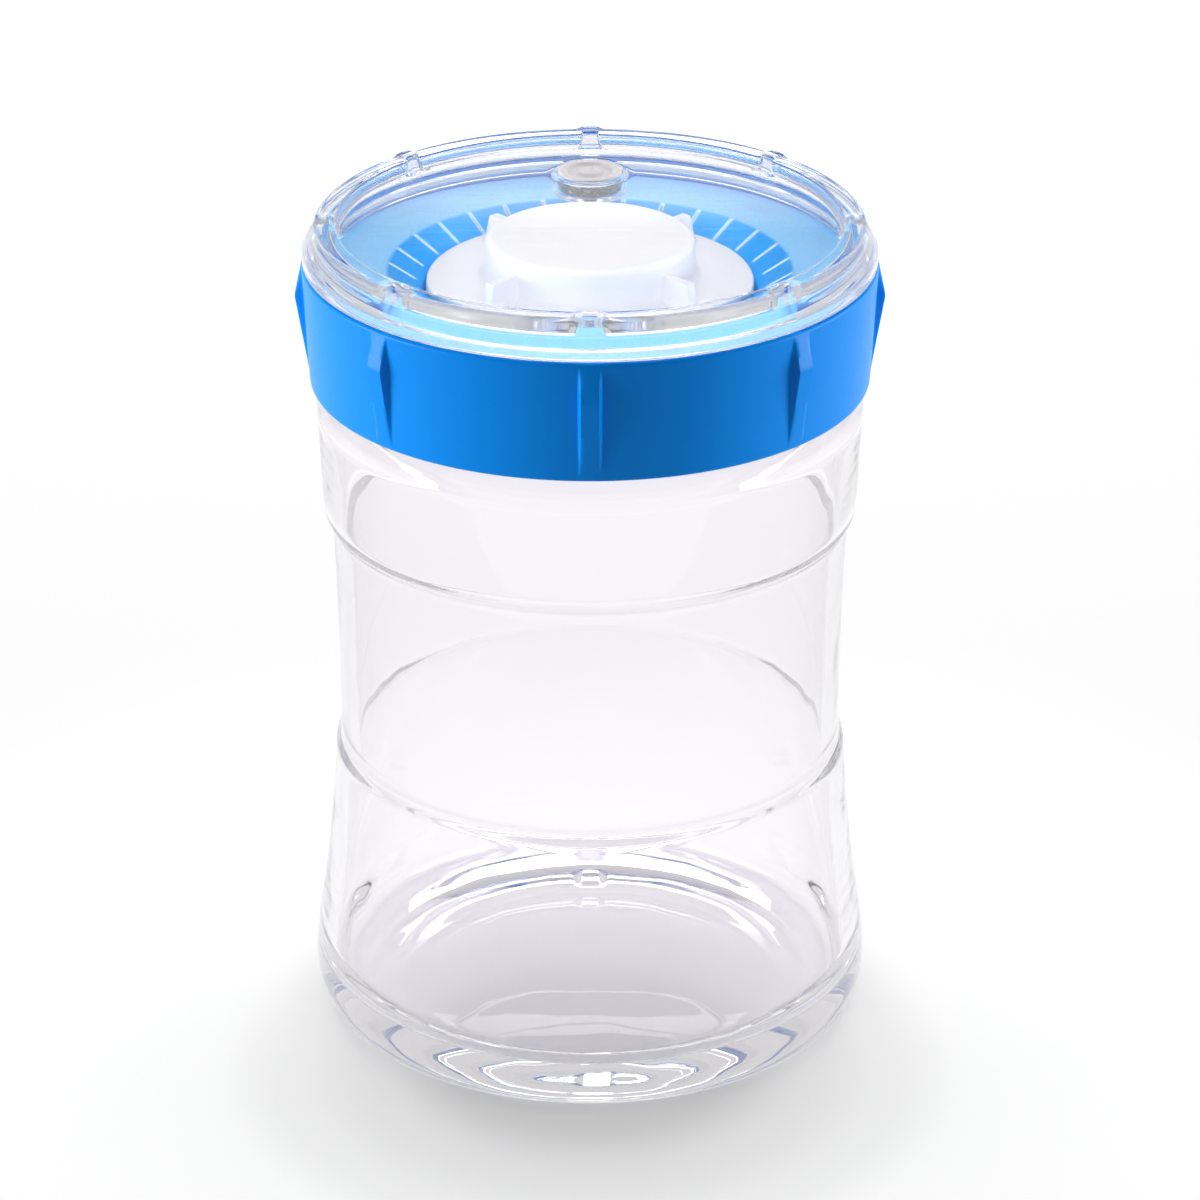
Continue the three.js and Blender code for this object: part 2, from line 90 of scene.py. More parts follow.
def reach(node):
    """Largest radius of a CAD node that is turned about the jar's axis, in millimetres."""
    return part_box(node)[1].x / MM


foot, mouth = heights("glass_jar")
ring_bottom, ring_top = heights("screw_ring")
print(f"jar {mouth - foot:.1f} mm tall, ring from {ring_bottom:.1f} to {ring_top:.1f} mm")

# %% [markdown]
# ## Outlines with real rounds
#
# Almost every piece here is turned on the jar's axis, so its shape is an outline of radius and height. A
# bevel modifier could soften the edges later, but moulded pieces have a different round at every edge.
# So the outline lists its corners, each with the length on either side that its round takes up.


# %% Round the corners of an outline
def rounded(corners, steps=12):
    """Outline through the corners, as dense points.

    A corner is a radius, a height, and the length of its round before it and, where that differs, after it.
    Each round is a conic: its start, its corner and its end weighted by (1-t)^2, 2wt(1-t) and t^2, with w the
    sine of half the corner's angle. Equal lengths before and after then give a circular arc, and unequal
    ones a stretched arc."""
    rows = np.array([(*corner[:3], corner[-1]) for corner in corners], float)
    point = rows[:, :2]
    to_last = np.roll(point, 1, axis=0) - point
    to_next = np.roll(point, -1, axis=0) - point
    to_last /= np.linalg.norm(to_last, axis=1, keepdims=True)
    to_next /= np.linalg.norm(to_next, axis=1, keepdims=True)
    start = (point + to_last * rows[:, 2:3])[:, None]
    end = (point + to_next * rows[:, 3:4])[:, None]
    cosine = np.clip((to_last * to_next).sum(axis=1), -1, 1)
    weight = np.sin(np.arccos(cosine) / 2)[:, None, None]
    t = np.linspace(0, 1, steps + 1)[None, :, None]
    first, middle, last = (1 - t) ** 2, 2 * weight * t * (1 - t), t ** 2
    curve = (first * start + middle * point[:, None] + last * end) / (first + middle + last)
    return curve.reshape(-1, 2)


# %% [markdown]
# Rows of faces are spread along the outline by need: few on straight stretches, many on rounds. Adding up
# length and bend along the outline and dividing the sum evenly does that without a special case.


# %% Spread stations along an outline
def stations(outline, step, turn=10.0, closed=True):
    """Points along an outline, no more than `step` mm or `turn` degrees apart.

    The running sum of length / step + bend / turn is cut into equal shares, and each share gets a point.
    `step` may be one number or one number for each point of the outline."""
    step = np.broadcast_to(np.asarray(step, float), len(outline))
    if closed:
        outline = np.vstack([outline, outline[:1]])
        step = np.append(step, step[0])
    apart = np.append(True, np.linalg.norm(np.diff(outline, axis=0), axis=1) > 1e-6)
    outline, step = outline[apart], step[apart]
    leg = np.diff(outline, axis=0)
    length = np.linalg.norm(leg, axis=1)
    heading = np.unwrap(np.arctan2(leg[:, 1], leg[:, 0]))
    bend = np.abs(np.diff(heading)) / math.radians(turn)
    share = length / np.minimum(step[1:], step[:-1])
    share[1:] += bend / 2
    share[:-1] += bend / 2
    total = np.append(0, np.cumsum(share))
    wanted = np.linspace(0, total[-1], math.ceil(total[-1]) + 1)
    spread = np.column_stack([np.interp(wanted, total, outline[:, axis]) for axis in (0, 1)])
    return spread[:-1] if closed else spread


# %% [markdown]
# ## From outline to mesh
#
# A turned piece is a grid: its rows are the stations and its columns are angles about the axis. Ribs, lugs
# and fins are changes of radius or height at some of those angles, so extra columns are set at their
# edges. Every step works on whole arrays.


# %% Angles, easing and the grid of points
def ease(value):
    """0 up to 0, 1 from 1 on, and 3v^2 - 2v^3 between them, which starts and ends level."""
    value = np.clip(value, 0, 1)
    return value * value * (3 - 2 * value)


def nearest(angle, count, first=0.0):
    """Angle from the nearest of `count` even copies about the axis, the first one at `first`."""
    pitch = 2 * math.pi / count
    return (angle - first + pitch / 2) % pitch - pitch / 2


def columns(even, count=0, first=0.0, offsets=()):
    """Angles of the grid's columns: `even` equal steps, and more at `offsets` from each of `count` copies."""
    steps = np.arange(even) * 2 * math.pi / even
    copies = first + np.arange(count) * 2 * math.pi / max(count, 1)
    extra = (copies[:, None] + np.array(offsets, float)[None, :]).ravel() % (2 * math.pi)
    angles = np.unique(np.round(np.concatenate([steps, extra]), 6))
    return angles[np.append(True, np.diff(angles) > 1e-3)]


def circles(radius, height, angle, centre=0.0):
    """Grid of points: the circle of each station, about an axis that is moved by `centre` towards +Y."""
    x = radius * np.cos(angle)
    y = radius * np.sin(angle) + centre
    return np.stack(np.broadcast_arrays(x, y, height), axis=-1)


def quads(rows, count, closed=True):
    """Faces of a grid that closes on itself round its columns, and along its rows too where `closed`."""
    row = np.arange(rows if closed else rows - 1)[:, None]
    column = np.arange(count)[None, :]
    above, right = (row + 1) % rows, (column + 1) % count
    ring = [row * count + column, row * count + right, above * count + right, above * count + column]
    return np.stack(ring, axis=-1).reshape(-1, 4)


# %% [markdown]
# The mesh is written with `foreach_set`, which takes the arrays as they are. Points that meet at the axis
# are merged, so the poles are closed, and only edges sharper than a moulded round stay sharp.

# %% Make a piece
SHARP_ANGLE = math.radians(42)
MERGE_DISTANCE = 0.002

pieces = bpy.data.collections.new("jar_pieces")
bpy.context.scene.collection.children.link(pieces)


def make_piece(name, points, finish, node, body, closed=True, faces=None):
    """Object from a grid of points in millimetres. It stands for a CAD node and rides on that node's body.

    Its faces are all those of the grid, which may be `closed` along its rows, or only the given ones."""
    faces = quads(*points.shape[:2], closed) if faces is None else faces
    mesh = bpy.data.meshes.new(name)
    flat = np.ascontiguousarray(points, float).reshape(-1, 3) * MM
    mesh.vertices.add(len(flat))
    mesh.vertices.foreach_set("co", flat.ravel())
    mesh.loops.add(faces.size)
    mesh.loops.foreach_set("vertex_index", faces.ravel())
    mesh.polygons.add(len(faces))
    mesh.polygons.foreach_set("loop_start", np.arange(0, faces.size, 4))
    mesh.update(calc_edges=True)
    work = bmesh.new()
    work.from_mesh(mesh)
    bmesh.ops.remove_doubles(work, verts=work.verts, dist=MERGE_DISTANCE * MM)
    work.to_mesh(mesh)
    work.free()
    mesh.shade_smooth()
    mesh.set_sharp_from_angle(angle=SHARP_ANGLE)
    mesh.materials.append(finish)
    piece = bpy.data.objects.new(name, mesh)
    pieces.objects.link(piece)
    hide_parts(node)
    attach(piece, body)
    mesh.calc_loop_triangles()
    print(f"{name}: {len(mesh.loop_triangles)} triangles")
    return piece


def make_turned(name, outline, angles, finish, node, body):
    """Plain turned piece: the circle of each station, with no ribs or holes."""
    points = circles(outline[:, :1], outline[:, 1:], angles[None, :])
    return make_piece(name, points, finish, node, body)


# %% [markdown]
# ## Finishes
#
# Colours are noted as sRGB hex, the way a designer gives them, and Blender wants them linear. One function
# adds a shader node with its settings and links, and every finish is built with it.


# %% Colour and node helpers
def linear(hex_colour):
    """Linear RGBA of an sRGB hex colour: v / 12.92 near black, ((v + 0.055) / 1.055)^2.4 above."""
    value = np.array([int(hex_colour[i:i + 2], 16) for i in (0, 2, 4)]) / 255
    return (*np.where(value <= 0.04045, value / 12.92, ((value + 0.055) / 1.055) ** 2.4), 1.0)


def add(tree, kind, inputs=None, **settings):
    """Adds a node. Its kind is Blender's name for it without the word ShaderNode in front.

    `settings` are its own properties. `inputs` are values, sockets, or nodes that give their first output."""
    made = tree.nodes.new("ShaderNode" + kind)
    for name, value in settings.items():
        setattr(made, name, value)
    for name, value in (inputs or {}).items():
        if isinstance(value, bpy.types.Node):
            value = next(socket for socket in value.outputs if socket.enabled)
        if isinstance(value, bpy.types.NodeSocket):
            tree.links.new(value, made.inputs[name])
        else:
            made.inputs[name].default_value = value
    return made


def empty_material(name):
    """Material with an empty node tree, that tree, and the places on the piece, as its Object coordinates."""
    material = bpy.data.materials.new(name)
    material.use_nodes = True
    tree = material.node_tree
    tree.nodes.clear()
    return material, tree, add(tree, "TexCoord").outputs["Object"]


def per_metre(size):
    """Texture scale at which a pattern repeats about every `size` mm on Object coordinates."""
    return 1000 / size


# %% [markdown]
# ### Soda-lime glass
#
# The jar is pressed soda-lime glass: clear, almost colourless and shiny, with an index of 1.52. The mould
# leaves the inside a little uneven, which bends what is seen through it in slow waves, so a faint bump with
# waves of about 16 mm goes into the normal. Fine handling haze gives the gloss a little life.

# %% Glass
GLASS_WAVE = 16
GLASS_RELIEF = 0.3
GLASS_HAZE = 5
GLASS_DULLEST = 0.02


def soda_lime_glass():
    """Clear glass with slow waves in its surface and patches of haze in its gloss."""
    material, tree, place = empty_material("soda_lime_glass")
    wave = add(tree, "TexNoise", {"Vector": place, "Scale": per_metre(GLASS_WAVE), "Detail": 1.0})
    relief = add(tree, "Bump", {"Height": wave, "Strength": 0.35, "Distance": GLASS_RELIEF * MM})
    haze = add(tree, "TexNoise", {"Vector": place, "Scale": per_metre(GLASS_HAZE), "Detail": 3.0})
    gloss = add(tree, "MapRange", {
        "Value": haze, "From Min": 0.4, "From Max": 0.8, "To Min": 0.0, "To Max": GLASS_DULLEST})
    shader = add(tree, "BsdfPrincipled", {
        "Base Color": linear("FDFBFE"), "Roughness": gloss, "IOR": 1.52, "Transmission Weight": 1.0,
        "Normal": relief})
    add(tree, "OutputMaterial", {"Surface": shader})
    return material


glass = soda_lime_glass()
print("finish:", glass.name)

# %% [markdown]
# ### Moulded polypropylene
#
# The ring, the dish and the press are polypropylene from a polished mould. It is satin, never a mirror, and
# it lets a little light in, so edges glow. One recipe with different colours serves the blue and the
# white: a slow change of tint from the flow of the melt, and a fine skin grain. The real grain is about
# 0.1 mm, too fine for the picture, so it is drawn at 0.5 mm. The dish is the ring's blue in a thinner wall,
# where more light comes through, so it is a lighter and shinier blue. Its flat deck is painted paler than its
# cone. This is a painted sheen that stands for the bright room mirrored in the level deck. The round edges
# of its slots are paler still, as a painted highlight.

# %% Places on the dish
SLOT_COUNT = 30
SLOT_START = math.radians(8)
SLOT_CIRCLE = 41.0
SLOT_REACH = 3.4
SLOT_FADE = 1.0
# How far from a slot's middle the painted highlight is full, and where it has gone, in mm.
HIGHLIGHT_FULL = 0.35
HIGHLIGHT_GONE = 0.7


def from_axis(tree, place):
    """Distance from the jar's axis in millimetres: the length of the place with its height taken out."""
    level = add(tree, "VectorMath", {0: place, 1: (1 / MM, 1 / MM, 0)}, operation="MULTIPLY")
    return add(tree, "VectorMath", {0: level}, operation="LENGTH")


def painted_slot_highlights(tree, place, radius):
    """1 on the edges of the dish's slots, where a highlight is painted, and 0 elsewhere.

    The angle about the axis, counted in slots, rises and falls between 0 and 1/2 and is 1/2 on each slot.
    Near 1/2 is an edge, but only within the reach of the slots to either side of their middle circle."""
    pitch = 2 * math.pi * SLOT_CIRCLE / SLOT_COUNT
    turned = add(tree, "Mapping", {"Vector": place, "Rotation": (0, 0, math.pi / SLOT_COUNT - SLOT_START)})
    turn = add(tree, "TexGradient", {"Vector": turned}, gradient_type="RADIAL").outputs["Fac"]
    count = add(tree, "Math", {0: turn, 1: float(SLOT_COUNT)}, operation="MULTIPLY")
    share = add(tree, "Math", {0: count, 1: 0.5}, operation="PINGPONG")
    line = add(tree, "MapRange", interpolation_type="SMOOTHSTEP", inputs={
        "Value": share, "From Min": 0.5 - HIGHLIGHT_GONE / pitch, "From Max": 0.5 - HIGHLIGHT_FULL / pitch})
    off = add(tree, "Math", {0: radius, 1: SLOT_CIRCLE}, operation="SUBTRACT")
    away = add(tree, "Math", {0: off}, operation="ABSOLUTE")
    band = add(tree, "MapRange", interpolation_type="SMOOTHSTEP", inputs={
        "Value": away, "From Min": SLOT_REACH, "From Max": SLOT_REACH - SLOT_FADE})
    return add(tree, "Math", {0: line, 1: band}, operation="MULTIPLY")


# %% Polypropylene, blue and white
FLOW_SIZE = 22
SKIN_GRAIN = 0.5
SKIN_RELIEF = 0.02
SATIN_SPREAD = 0.05
# Radii in mm over which the deck's painted sheen fades in.
DECK_SHEEN_EDGE = (43.4, 44.6)


def polypropylene(name, colour, flow_colour, roughness, sheen, glow, glow_radius,
                  deck_sheen_colour=None, slot_highlight_colour=None):
    """Satin plastic in two mixed tints, which light enters by `glow_radius` mm.

    Painted sheen: a third colour on the dish's deck beyond the cone. Painted highlight: a fourth on its slot
    edges."""
    material, tree, place = empty_material(name)
    flow = add(tree, "TexNoise", {"Vector": place, "Scale": per_metre(FLOW_SIZE), "Detail": 2.0})
    tint = add(tree, "Mix", {
        "Factor": flow, "A": linear(colour), "B": linear(flow_colour)}, data_type="RGBA")
    if deck_sheen_colour:
        # Painted sheen on the deck beyond the cone, and a painted highlight on the slot edges.
        radius = from_axis(tree, place)
        deck = add(tree, "MapRange", interpolation_type="SMOOTHSTEP", inputs={
            "Value": radius, "From Min": DECK_SHEEN_EDGE[0], "From Max": DECK_SHEEN_EDGE[1]})
        for share, other in ((deck, deck_sheen_colour), (painted_slot_highlights(tree, place, radius), slot_highlight_colour)):
            tint = add(tree, "Mix", {"Factor": share, "A": tint, "B": linear(other)}, data_type="RGBA")
    grain = add(tree, "TexNoise", {"Vector": place, "Scale": per_metre(SKIN_GRAIN), "Detail": 2.0})
    satin = add(tree, "MapRange", {
        "Value": grain, "From Min": 0.3, "From Max": 0.7,
        "To Min": roughness - SATIN_SPREAD, "To Max": roughness + SATIN_SPREAD})
    skin = add(tree, "Bump", {"Height": grain, "Strength": 0.3, "Distance": SKIN_RELIEF * MM})
    shader = add(tree, "BsdfPrincipled", {
        "Base Color": tint, "Roughness": satin, "IOR": 1.49, "Specular IOR Level": sheen,
        "Subsurface Weight": glow, "Subsurface Radius": glow_radius, "Subsurface Scale": MM, "Normal": skin})
    add(tree, "OutputMaterial", {"Surface": shader})
    return material


blue_plastic = polypropylene(
    "blue_polypropylene", "0086E8", "008CEC", roughness=0.36, sheen=0.1, glow=0.15,
    glow_radius=(0.3, 0.8, 1.6))
# The dish's deck colour is a painted sheen, and its slot edge colour is a painted highlight.
thin_blue_plastic = polypropylene(
    "thin_blue_polypropylene", "00A4FC", "04AAFE", roughness=0.3, sheen=0.3, glow=0.4,
    glow_radius=(0.8, 1.4, 2.2), deck_sheen_colour="90D0FF", slot_highlight_colour="D8F0FF")
white_plastic = polypropylene(
    "white_polypropylene", "F2F1F2", "F5F4F5", roughness=0.42, sheen=0.5, glow=0.25,
    glow_radius=(1.6, 1.5, 1.7))
print("finishes:", blue_plastic.name, thin_blue_plastic.name, white_plastic.name)

# %% [markdown]
# ### Clear moulded plastic
#
# The cover is a clear copolyester with an index of 1.55. It is polished like the glass but softer, so it
# carries fine wipe marks. They are noise stretched along one direction, and they only touch the gloss.

# %% Clear plastic
WIPE_WIDTH = 1.5
WIPE_STRETCH = 12
WIPE_TURN = math.radians(28)
WIPE_DULLEST = 0.06


def clear_copolyester():
    """Clear plastic whose gloss is dulled a little along the wipe marks."""
    material, tree, place = empty_material("clear_copolyester")
    along = add(tree, "Mapping", {
        "Vector": place, "Rotation": (0, 0, WIPE_TURN), "Scale": (1 / WIPE_STRETCH, 1, 1)})
    wipes = add(tree, "TexNoise", {"Vector": along, "Scale": per_metre(WIPE_WIDTH), "Detail": 3.0})
    gloss = add(tree, "MapRange", {
        "Value": wipes, "From Min": 0.45, "From Max": 0.8, "To Min": 0.0, "To Max": WIPE_DULLEST})
    shader = add(tree, "BsdfPrincipled", {
        "Base Color": linear("FDFDFF"), "Roughness": gloss, "IOR": 1.55, "Transmission Weight": 1.0})
    add(tree, "OutputMaterial", {"Surface": shader})
    return material


clear_plastic = clear_copolyester()
print("finish:", clear_plastic.name)

# %% [markdown]
# ### Silicone
#
# The valve plug is grey silicone rubber and the seals are the pale, undyed kind. Both are matt and soft to
# the eye. Silicone draws dust: small specks change the roughness and the tint. The plug's top face is painted
# pale, as if lit from above, over its dark side: painted light.

# %% Silicone, grey and pale
DUST_SIZE = 0.8
DUST_RELIEF = 0.03
MATT_SPREAD = 0.13
# Heights over which the plug's top turns pale: painted light, as if lit from above.
PLUG_LIT_FACE = (181.5, 182.5)


def silicone(name, colour, dust_and_lit_face_colour, glow, roughness, lit_face=None):
    """Matt rubber with specks of dust, which close up between given heights into painted light on the top."""
    material, tree, place = empty_material(name)
    dust = add(tree, "TexNoise", {"Vector": place, "Scale": per_metre(DUST_SIZE), "Detail": 4.0})
    dust_and_lit_face = add(tree, "MapRange", {"Value": dust, "From Min": 0.55, "From Max": 0.75})
    # Painted light: above these heights the top face takes the pale colour, as if lit from above.
    if lit_face:
        up = add(tree, "SeparateXYZ", {"Vector": place}).outputs["Z"]
        top = add(tree, "MapRange", {"Value": up, "From Min": lit_face[0] * MM, "From Max": lit_face[1] * MM})
        dust_and_lit_face = add(tree, "Math", {0: dust_and_lit_face, 1: top}, operation="MAXIMUM")
    tint = add(tree, "Mix", {
        "Factor": dust_and_lit_face, "A": linear(colour), "B": linear(dust_and_lit_face_colour)}, data_type="RGBA")
    matt = add(tree, "MapRange", {
        "Value": dust, "To Min": roughness - MATT_SPREAD, "To Max": roughness + MATT_SPREAD})
    skin = add(tree, "Bump", {"Height": dust, "Strength": 0.25, "Distance": DUST_RELIEF * MM})
    shader = add(tree, "BsdfPrincipled", {
        "Base Color": tint, "Roughness": matt, "IOR": 1.41, "Subsurface Weight": glow,
        "Subsurface Radius": (1.0, 1.0, 1.0), "Subsurface Scale": MM, "Normal": skin})
    add(tree, "OutputMaterial", {"Surface": shader})
    return material


# The plug's pale colour is dust in specks and painted light on its top face.
grey_silicone = silicone("grey_silicone", "343136", "CFCCD0", glow=0.05, roughness=0.3, lit_face=PLUG_LIT_FACE)
pale_silicone = silicone("pale_silicone", "E2E4E4", "ECEDED", glow=0.35, roughness=0.55)
print("finishes:", grey_silicone.name, pale_silicone.name)

# %% [markdown]
# ## The camera
#
# The photograph looks down on the jar from a little over a metre away, with a long lens. Its ellipses give
# the angle: a circle's short axis over its long axis is the sine of the view's slope. The jar stands a
# little left of the middle of the frame, and a small shift does that without turning the camera.

# %% Camera
CAMERA_PLACE = (0.0, -1016.0, 561.0)
CAMERA_SLOPE = 24.62
CAMERA_LENS = 150.0
SENSOR_WIDTH = 36
FRAME_WIDTH = 1200
JAR_AXIS_COLUMN = 590

camera_data = bpy.data.cameras.new("camera")
camera_data.lens = CAMERA_LENS
camera_data.sensor_width = SENSOR_WIDTH
camera_data.shift_x = (FRAME_WIDTH / 2 - JAR_AXIS_COLUMN) / FRAME_WIDTH
camera = bpy.data.objects.new("camera", camera_data)
camera.location = [value * MM for value in CAMERA_PLACE]
camera.rotation_euler = (math.radians(90 - CAMERA_SLOPE), 0, 0)
bpy.context.collection.objects.link(camera)
bpy.context.scene.camera = camera
print(f"camera {math.hypot(*CAMERA_PLACE) / 1000:.2f} m away, {CAMERA_SLOPE} degrees down")

# %% [markdown]
# ## The glass jar
#
# The jar is pressed in a mould: a foot ring to stand on, a raised middle below, a full heel, a waist with two
# step lines, a shoulder and a neck with a four-start thread. A lathe modifier could turn it, but the thread
# and the notch under the foot have to grow out of the same skin, so the grid is built directly, without a
# modifier. The inner wall follows the outside with softer steps, because the plunger that pressed it was
# smooth.

# %% Sizes of the glass
FOOT_RADIUS = 58.0
FOOT_WIDTH = 5.6
PUSH_UP = 3.6
HEEL_ROUND = 9.0
HEEL_HEIGHT = 14.0
FLARE_BEND = (58.9, 38.5)
LOWER_STEP = (57.2, 63.0)
PANEL_RADIUS = 56.0
PANEL_TOP_RADIUS = 57.0
UPPER_STEP = (58.8, 117.6)
STEP_RISE = 2.4
SHOULDER_OVERHANG = 4.6
SHOULDER_ROUND = 6.0
SHOULDER_GAP = 0.8
NECK_RADIUS = 55.6
GLASS_WALL = 3.6
NECK_WALL = 4.2
BASE_THICKNESS = 5.0
FLOOR_ROUND = (7.0, 9.0)

heel = reach("glass_jar")
mouth_radius = NECK_RADIUS - NECK_WALL
shoulder_top = ring_bottom - SHOULDER_GAP
panel_middle = (LOWER_STEP[1] + UPPER_STEP[1]) / 2
floor_height = PUSH_UP + BASE_THICKNESS
print(f"glass {heel:.1f} mm in radius at the heel, {mouth_radius:.1f} mm at the mouth")

# %% Outline of the glass
outside = [
    (0, PUSH_UP, 0),
    (FOOT_RADIUS / 2, PUSH_UP, 20, 18),
    (FOOT_RADIUS - FOOT_WIDTH, foot, 1.5),
    (heel, foot, heel - FOOT_RADIUS, HEEL_ROUND),
    (heel, HEEL_HEIGHT, 4, 9),
    (*FLARE_BEND, 15, 20),
    (*LOWER_STEP, 0.9),
    (PANEL_RADIUS, LOWER_STEP[1] + STEP_RISE, 0.9),
    (PANEL_RADIUS, panel_middle, 20),
    (PANEL_TOP_RADIUS, UPPER_STEP[1], 1.1),
    (UPPER_STEP[0], UPPER_STEP[1] + STEP_RISE, 1.1),
    (NECK_RADIUS + SHOULDER_OVERHANG, shoulder_top, SHOULDER_ROUND, SHOULDER_OVERHANG - 0.6),
    (NECK_RADIUS, shoulder_top, 0.5),
    (NECK_RADIUS, mouth, 0.8),
]
inside = [
    (mouth_radius, mouth, 0.8),
    (mouth_radius, shoulder_top, 3),
    (NECK_RADIUS + SHOULDER_OVERHANG - GLASS_WALL, shoulder_top - SHOULDER_ROUND, 3),
    (UPPER_STEP[0] - GLASS_WALL, UPPER_STEP[1] + STEP_RISE, 1.4),
    (PANEL_TOP_RADIUS - GLASS_WALL, UPPER_STEP[1], 1.4),
    (PANEL_RADIUS - GLASS_WALL, panel_middle, 20),
    (PANEL_RADIUS - GLASS_WALL, LOWER_STEP[1] + STEP_RISE, 1.3),
    (LOWER_STEP[0] - GLASS_WALL, LOWER_STEP[1], 1.3),
    (FLARE_BEND[0] - GLASS_WALL, FLARE_BEND[1], 18, 12),
    (heel - GLASS_WALL, floor_height, FLOOR_ROUND[1], FLOOR_ROUND[0]),
    (0, floor_height, 0),
]
glass_outline = rounded(outside + inside)
print(f"glass outline of {len(outside) + len(inside)} corners, wall {GLASS_WALL} mm")

# %% [markdown]
# The thread is a bump that climbs with the angle. Four starts share the turn, so each quarter turn holds one
# ridge. The same formula, with its own length and place, gives the lugs inside the ring.

# %% Thread and notch
THREAD_STARTS = 4
THREAD_LEAD = 24.0
RIDGE_START = math.radians(45)
RIDGE_SWEEP = math.radians(75)
RIDGE_DEPTH = 2.2
RIDGE_HALF = 1.1
RIDGE_TIP = 0.35
RIDGE_DROP = 10.7
RIDGE_END = math.radians(7)
NOTCH_WIDTH = 7.0
NOTCH_DEPTH = 1.4
NOTCH_EDGE = 3.0
NOTCH_ANGLE = math.pi / 2
NECK_STEP = 0.35
GLASS_STEP = 1.8
GLASS_COLUMNS = 180


def thread_bump(angle, height, start, sweep, base):
    """Share of the ridge's depth. It climbs from `base` by the lead each turn, and eases off on all sides."""
    ahead = (angle - start) % (2 * math.pi / THREAD_STARTS)
    middle = base + THREAD_LEAD * ahead / (2 * math.pi)
    across = ease((RIDGE_HALF - np.abs(height - middle)) / (RIDGE_HALF - RIDGE_TIP))
    return across * ease(ahead / RIDGE_END) * ease((sweep - ahead) / RIDGE_END)


# %% Glass jar
ridge_height = mouth - RIDGE_DROP
on_neck = (glass_outline[:, 0] > NECK_RADIUS - 0.1) & (glass_outline[:, 1] > shoulder_top)
glass_rows = stations(glass_outline, np.where(on_neck, NECK_STEP, GLASS_STEP), turn=6, closed=False)
notch_offsets = np.linspace(-NOTCH_WIDTH, NOTCH_WIDTH, 15) / FOOT_RADIUS
glass_angles = columns(GLASS_COLUMNS, 1, NOTCH_ANGLE, notch_offsets)[None, :]
radius, height = glass_rows.T[:, :, None]

neck_rows = (radius > NECK_RADIUS - 0.1) & (height > shoulder_top) & (height < mouth - 1)
ridge = thread_bump(glass_angles, height, RIDGE_START, RIDGE_SWEEP, ridge_height)
glass_radius = radius + RIDGE_DEPTH * ridge * neck_rows
foot_rows = (height < NOTCH_DEPTH) & (radius > FOOT_RADIUS - FOOT_WIDTH - 4)
sideways = np.abs(radius * nearest(glass_angles, 1, NOTCH_ANGLE))
notch = ease((NOTCH_WIDTH / 2 - sideways) / NOTCH_EDGE + 0.5) * foot_rows
glass_height = np.maximum(height, NOTCH_DEPTH * notch)
glass_points = circles(glass_radius, glass_height, glass_angles)
make_piece("jar_glass", glass_points, glass, "glass_jar", "jar", closed=False)

# %% [markdown]
# ## The gasket
#
# A flat silicone ring lies on the glass rim. Only its edge can be seen, through the neck, so it is a plain
# turned ring with soft corners.

# %% Gasket
GASKET_WIDTH = 4.8
SEAL_COLUMNS = 128


def soft_ring(inner, outer, node, inner_round, outer_round, side_round):
    """Outline of a ring as high as its node: four corners, with the lengths that their rounds take up."""
    bottom, top = heights(node)
    return rounded([
        (inner, bottom, inner_round),
        (outer, bottom, outer_round, side_round),
        (outer, top, side_round, outer_round),
        (inner, top, inner_round),
    ])


gasket_outline = soft_ring(mouth_radius, mouth_radius + GASKET_WIDTH, "jar_gasket", 0.4, 0.4, 0.4)
make_turned("gasket_ring", stations(gasket_outline, step=1.0, turn=20), columns(SEAL_COLUMNS), pale_silicone,
            "jar_gasket", "jar_seal")

# %% [markdown]
# ## The screw ring
#
# The ring widens a little to the top. Eight wedge ribs give the hand its grip: each rises from nothing at the
# bottom to a kink near the top and falls back to the rim. They are changes of radius on the outer wall, with
# columns set at their edges so that the edges stay crisp but round.


# %% Columns at soft edges
def edge_offsets(half, soft, radius, middle=(0,)):
    """Angles across a rib: five over each soft edge, `half` mm from its middle at `radius`, and `middle`."""
    across = np.linspace(-1, 1, 5) * soft
    return np.concatenate([middle, half + across, -half + across]) / radius


# %% Sizes of the screw ring
RING_WALL = 2.8
RING_FLARE = 1.4
THREAD_GAP = 0.6
LIP_THICKNESS = 1.8
LIP_OVERHANG = 0.8
UPSTAND_HEIGHT = 5.3
UPSTAND_WALL = 2.8
RING_EDGE = 0.8
GRIP_COUNT = 8
RIB_WIDTH = 4.4
RIB_HEIGHT = 2.0
RIB_KINK_DROP = 8.3
RIB_EDGE = 0.35
RING_COLUMNS = 144
LUG_LEAD_IN = math.radians(14)
LUG_SWEEP = math.radians(24)
LUG_CLEARANCE = 0.3

thread_bore = NECK_RADIUS + RIDGE_DEPTH + THREAD_GAP
ring_radius = thread_bore + RING_WALL
ring_top_radius = ring_radius + RING_FLARE
upstand_bore = ring_top_radius - UPSTAND_WALL
lip_top = ring_top - UPSTAND_HEIGHT
lip_bottom = lip_top - LIP_THICKNESS
lip_radius = mouth_radius - LIP_OVERHANG
print(f"ring {ring_top_radius:.1f} mm in radius at the top, lip under {lip_top:.1f} mm")

# %% Screw ring
ring_rows = stations(rounded([
    (thread_bore, ring_bottom, 0.5),
    (ring_radius, ring_bottom, RING_EDGE),
    (ring_top_radius, ring_top, RING_EDGE),
    (upstand_bore, ring_top, 0.5),
    (upstand_bore, lip_top, 0.4),
    (lip_radius, lip_top, 0.5),
    (lip_radius, lip_bottom, 0.5),
    (thread_bore, lip_bottom, 0.4),
]), 0.6)
rib_half = RIB_WIDTH / 2
rib_middle = np.append(np.linspace(-rib_half, rib_half, 5), [-rib_half - 1, rib_half + 1])
rib_offsets = edge_offsets(rib_half, RIB_EDGE, ring_radius, rib_middle)
ring_angles = columns(RING_COLUMNS, GRIP_COUNT, 0, rib_offsets)[None, :]
radius, height = ring_rows.T[:, :, None]

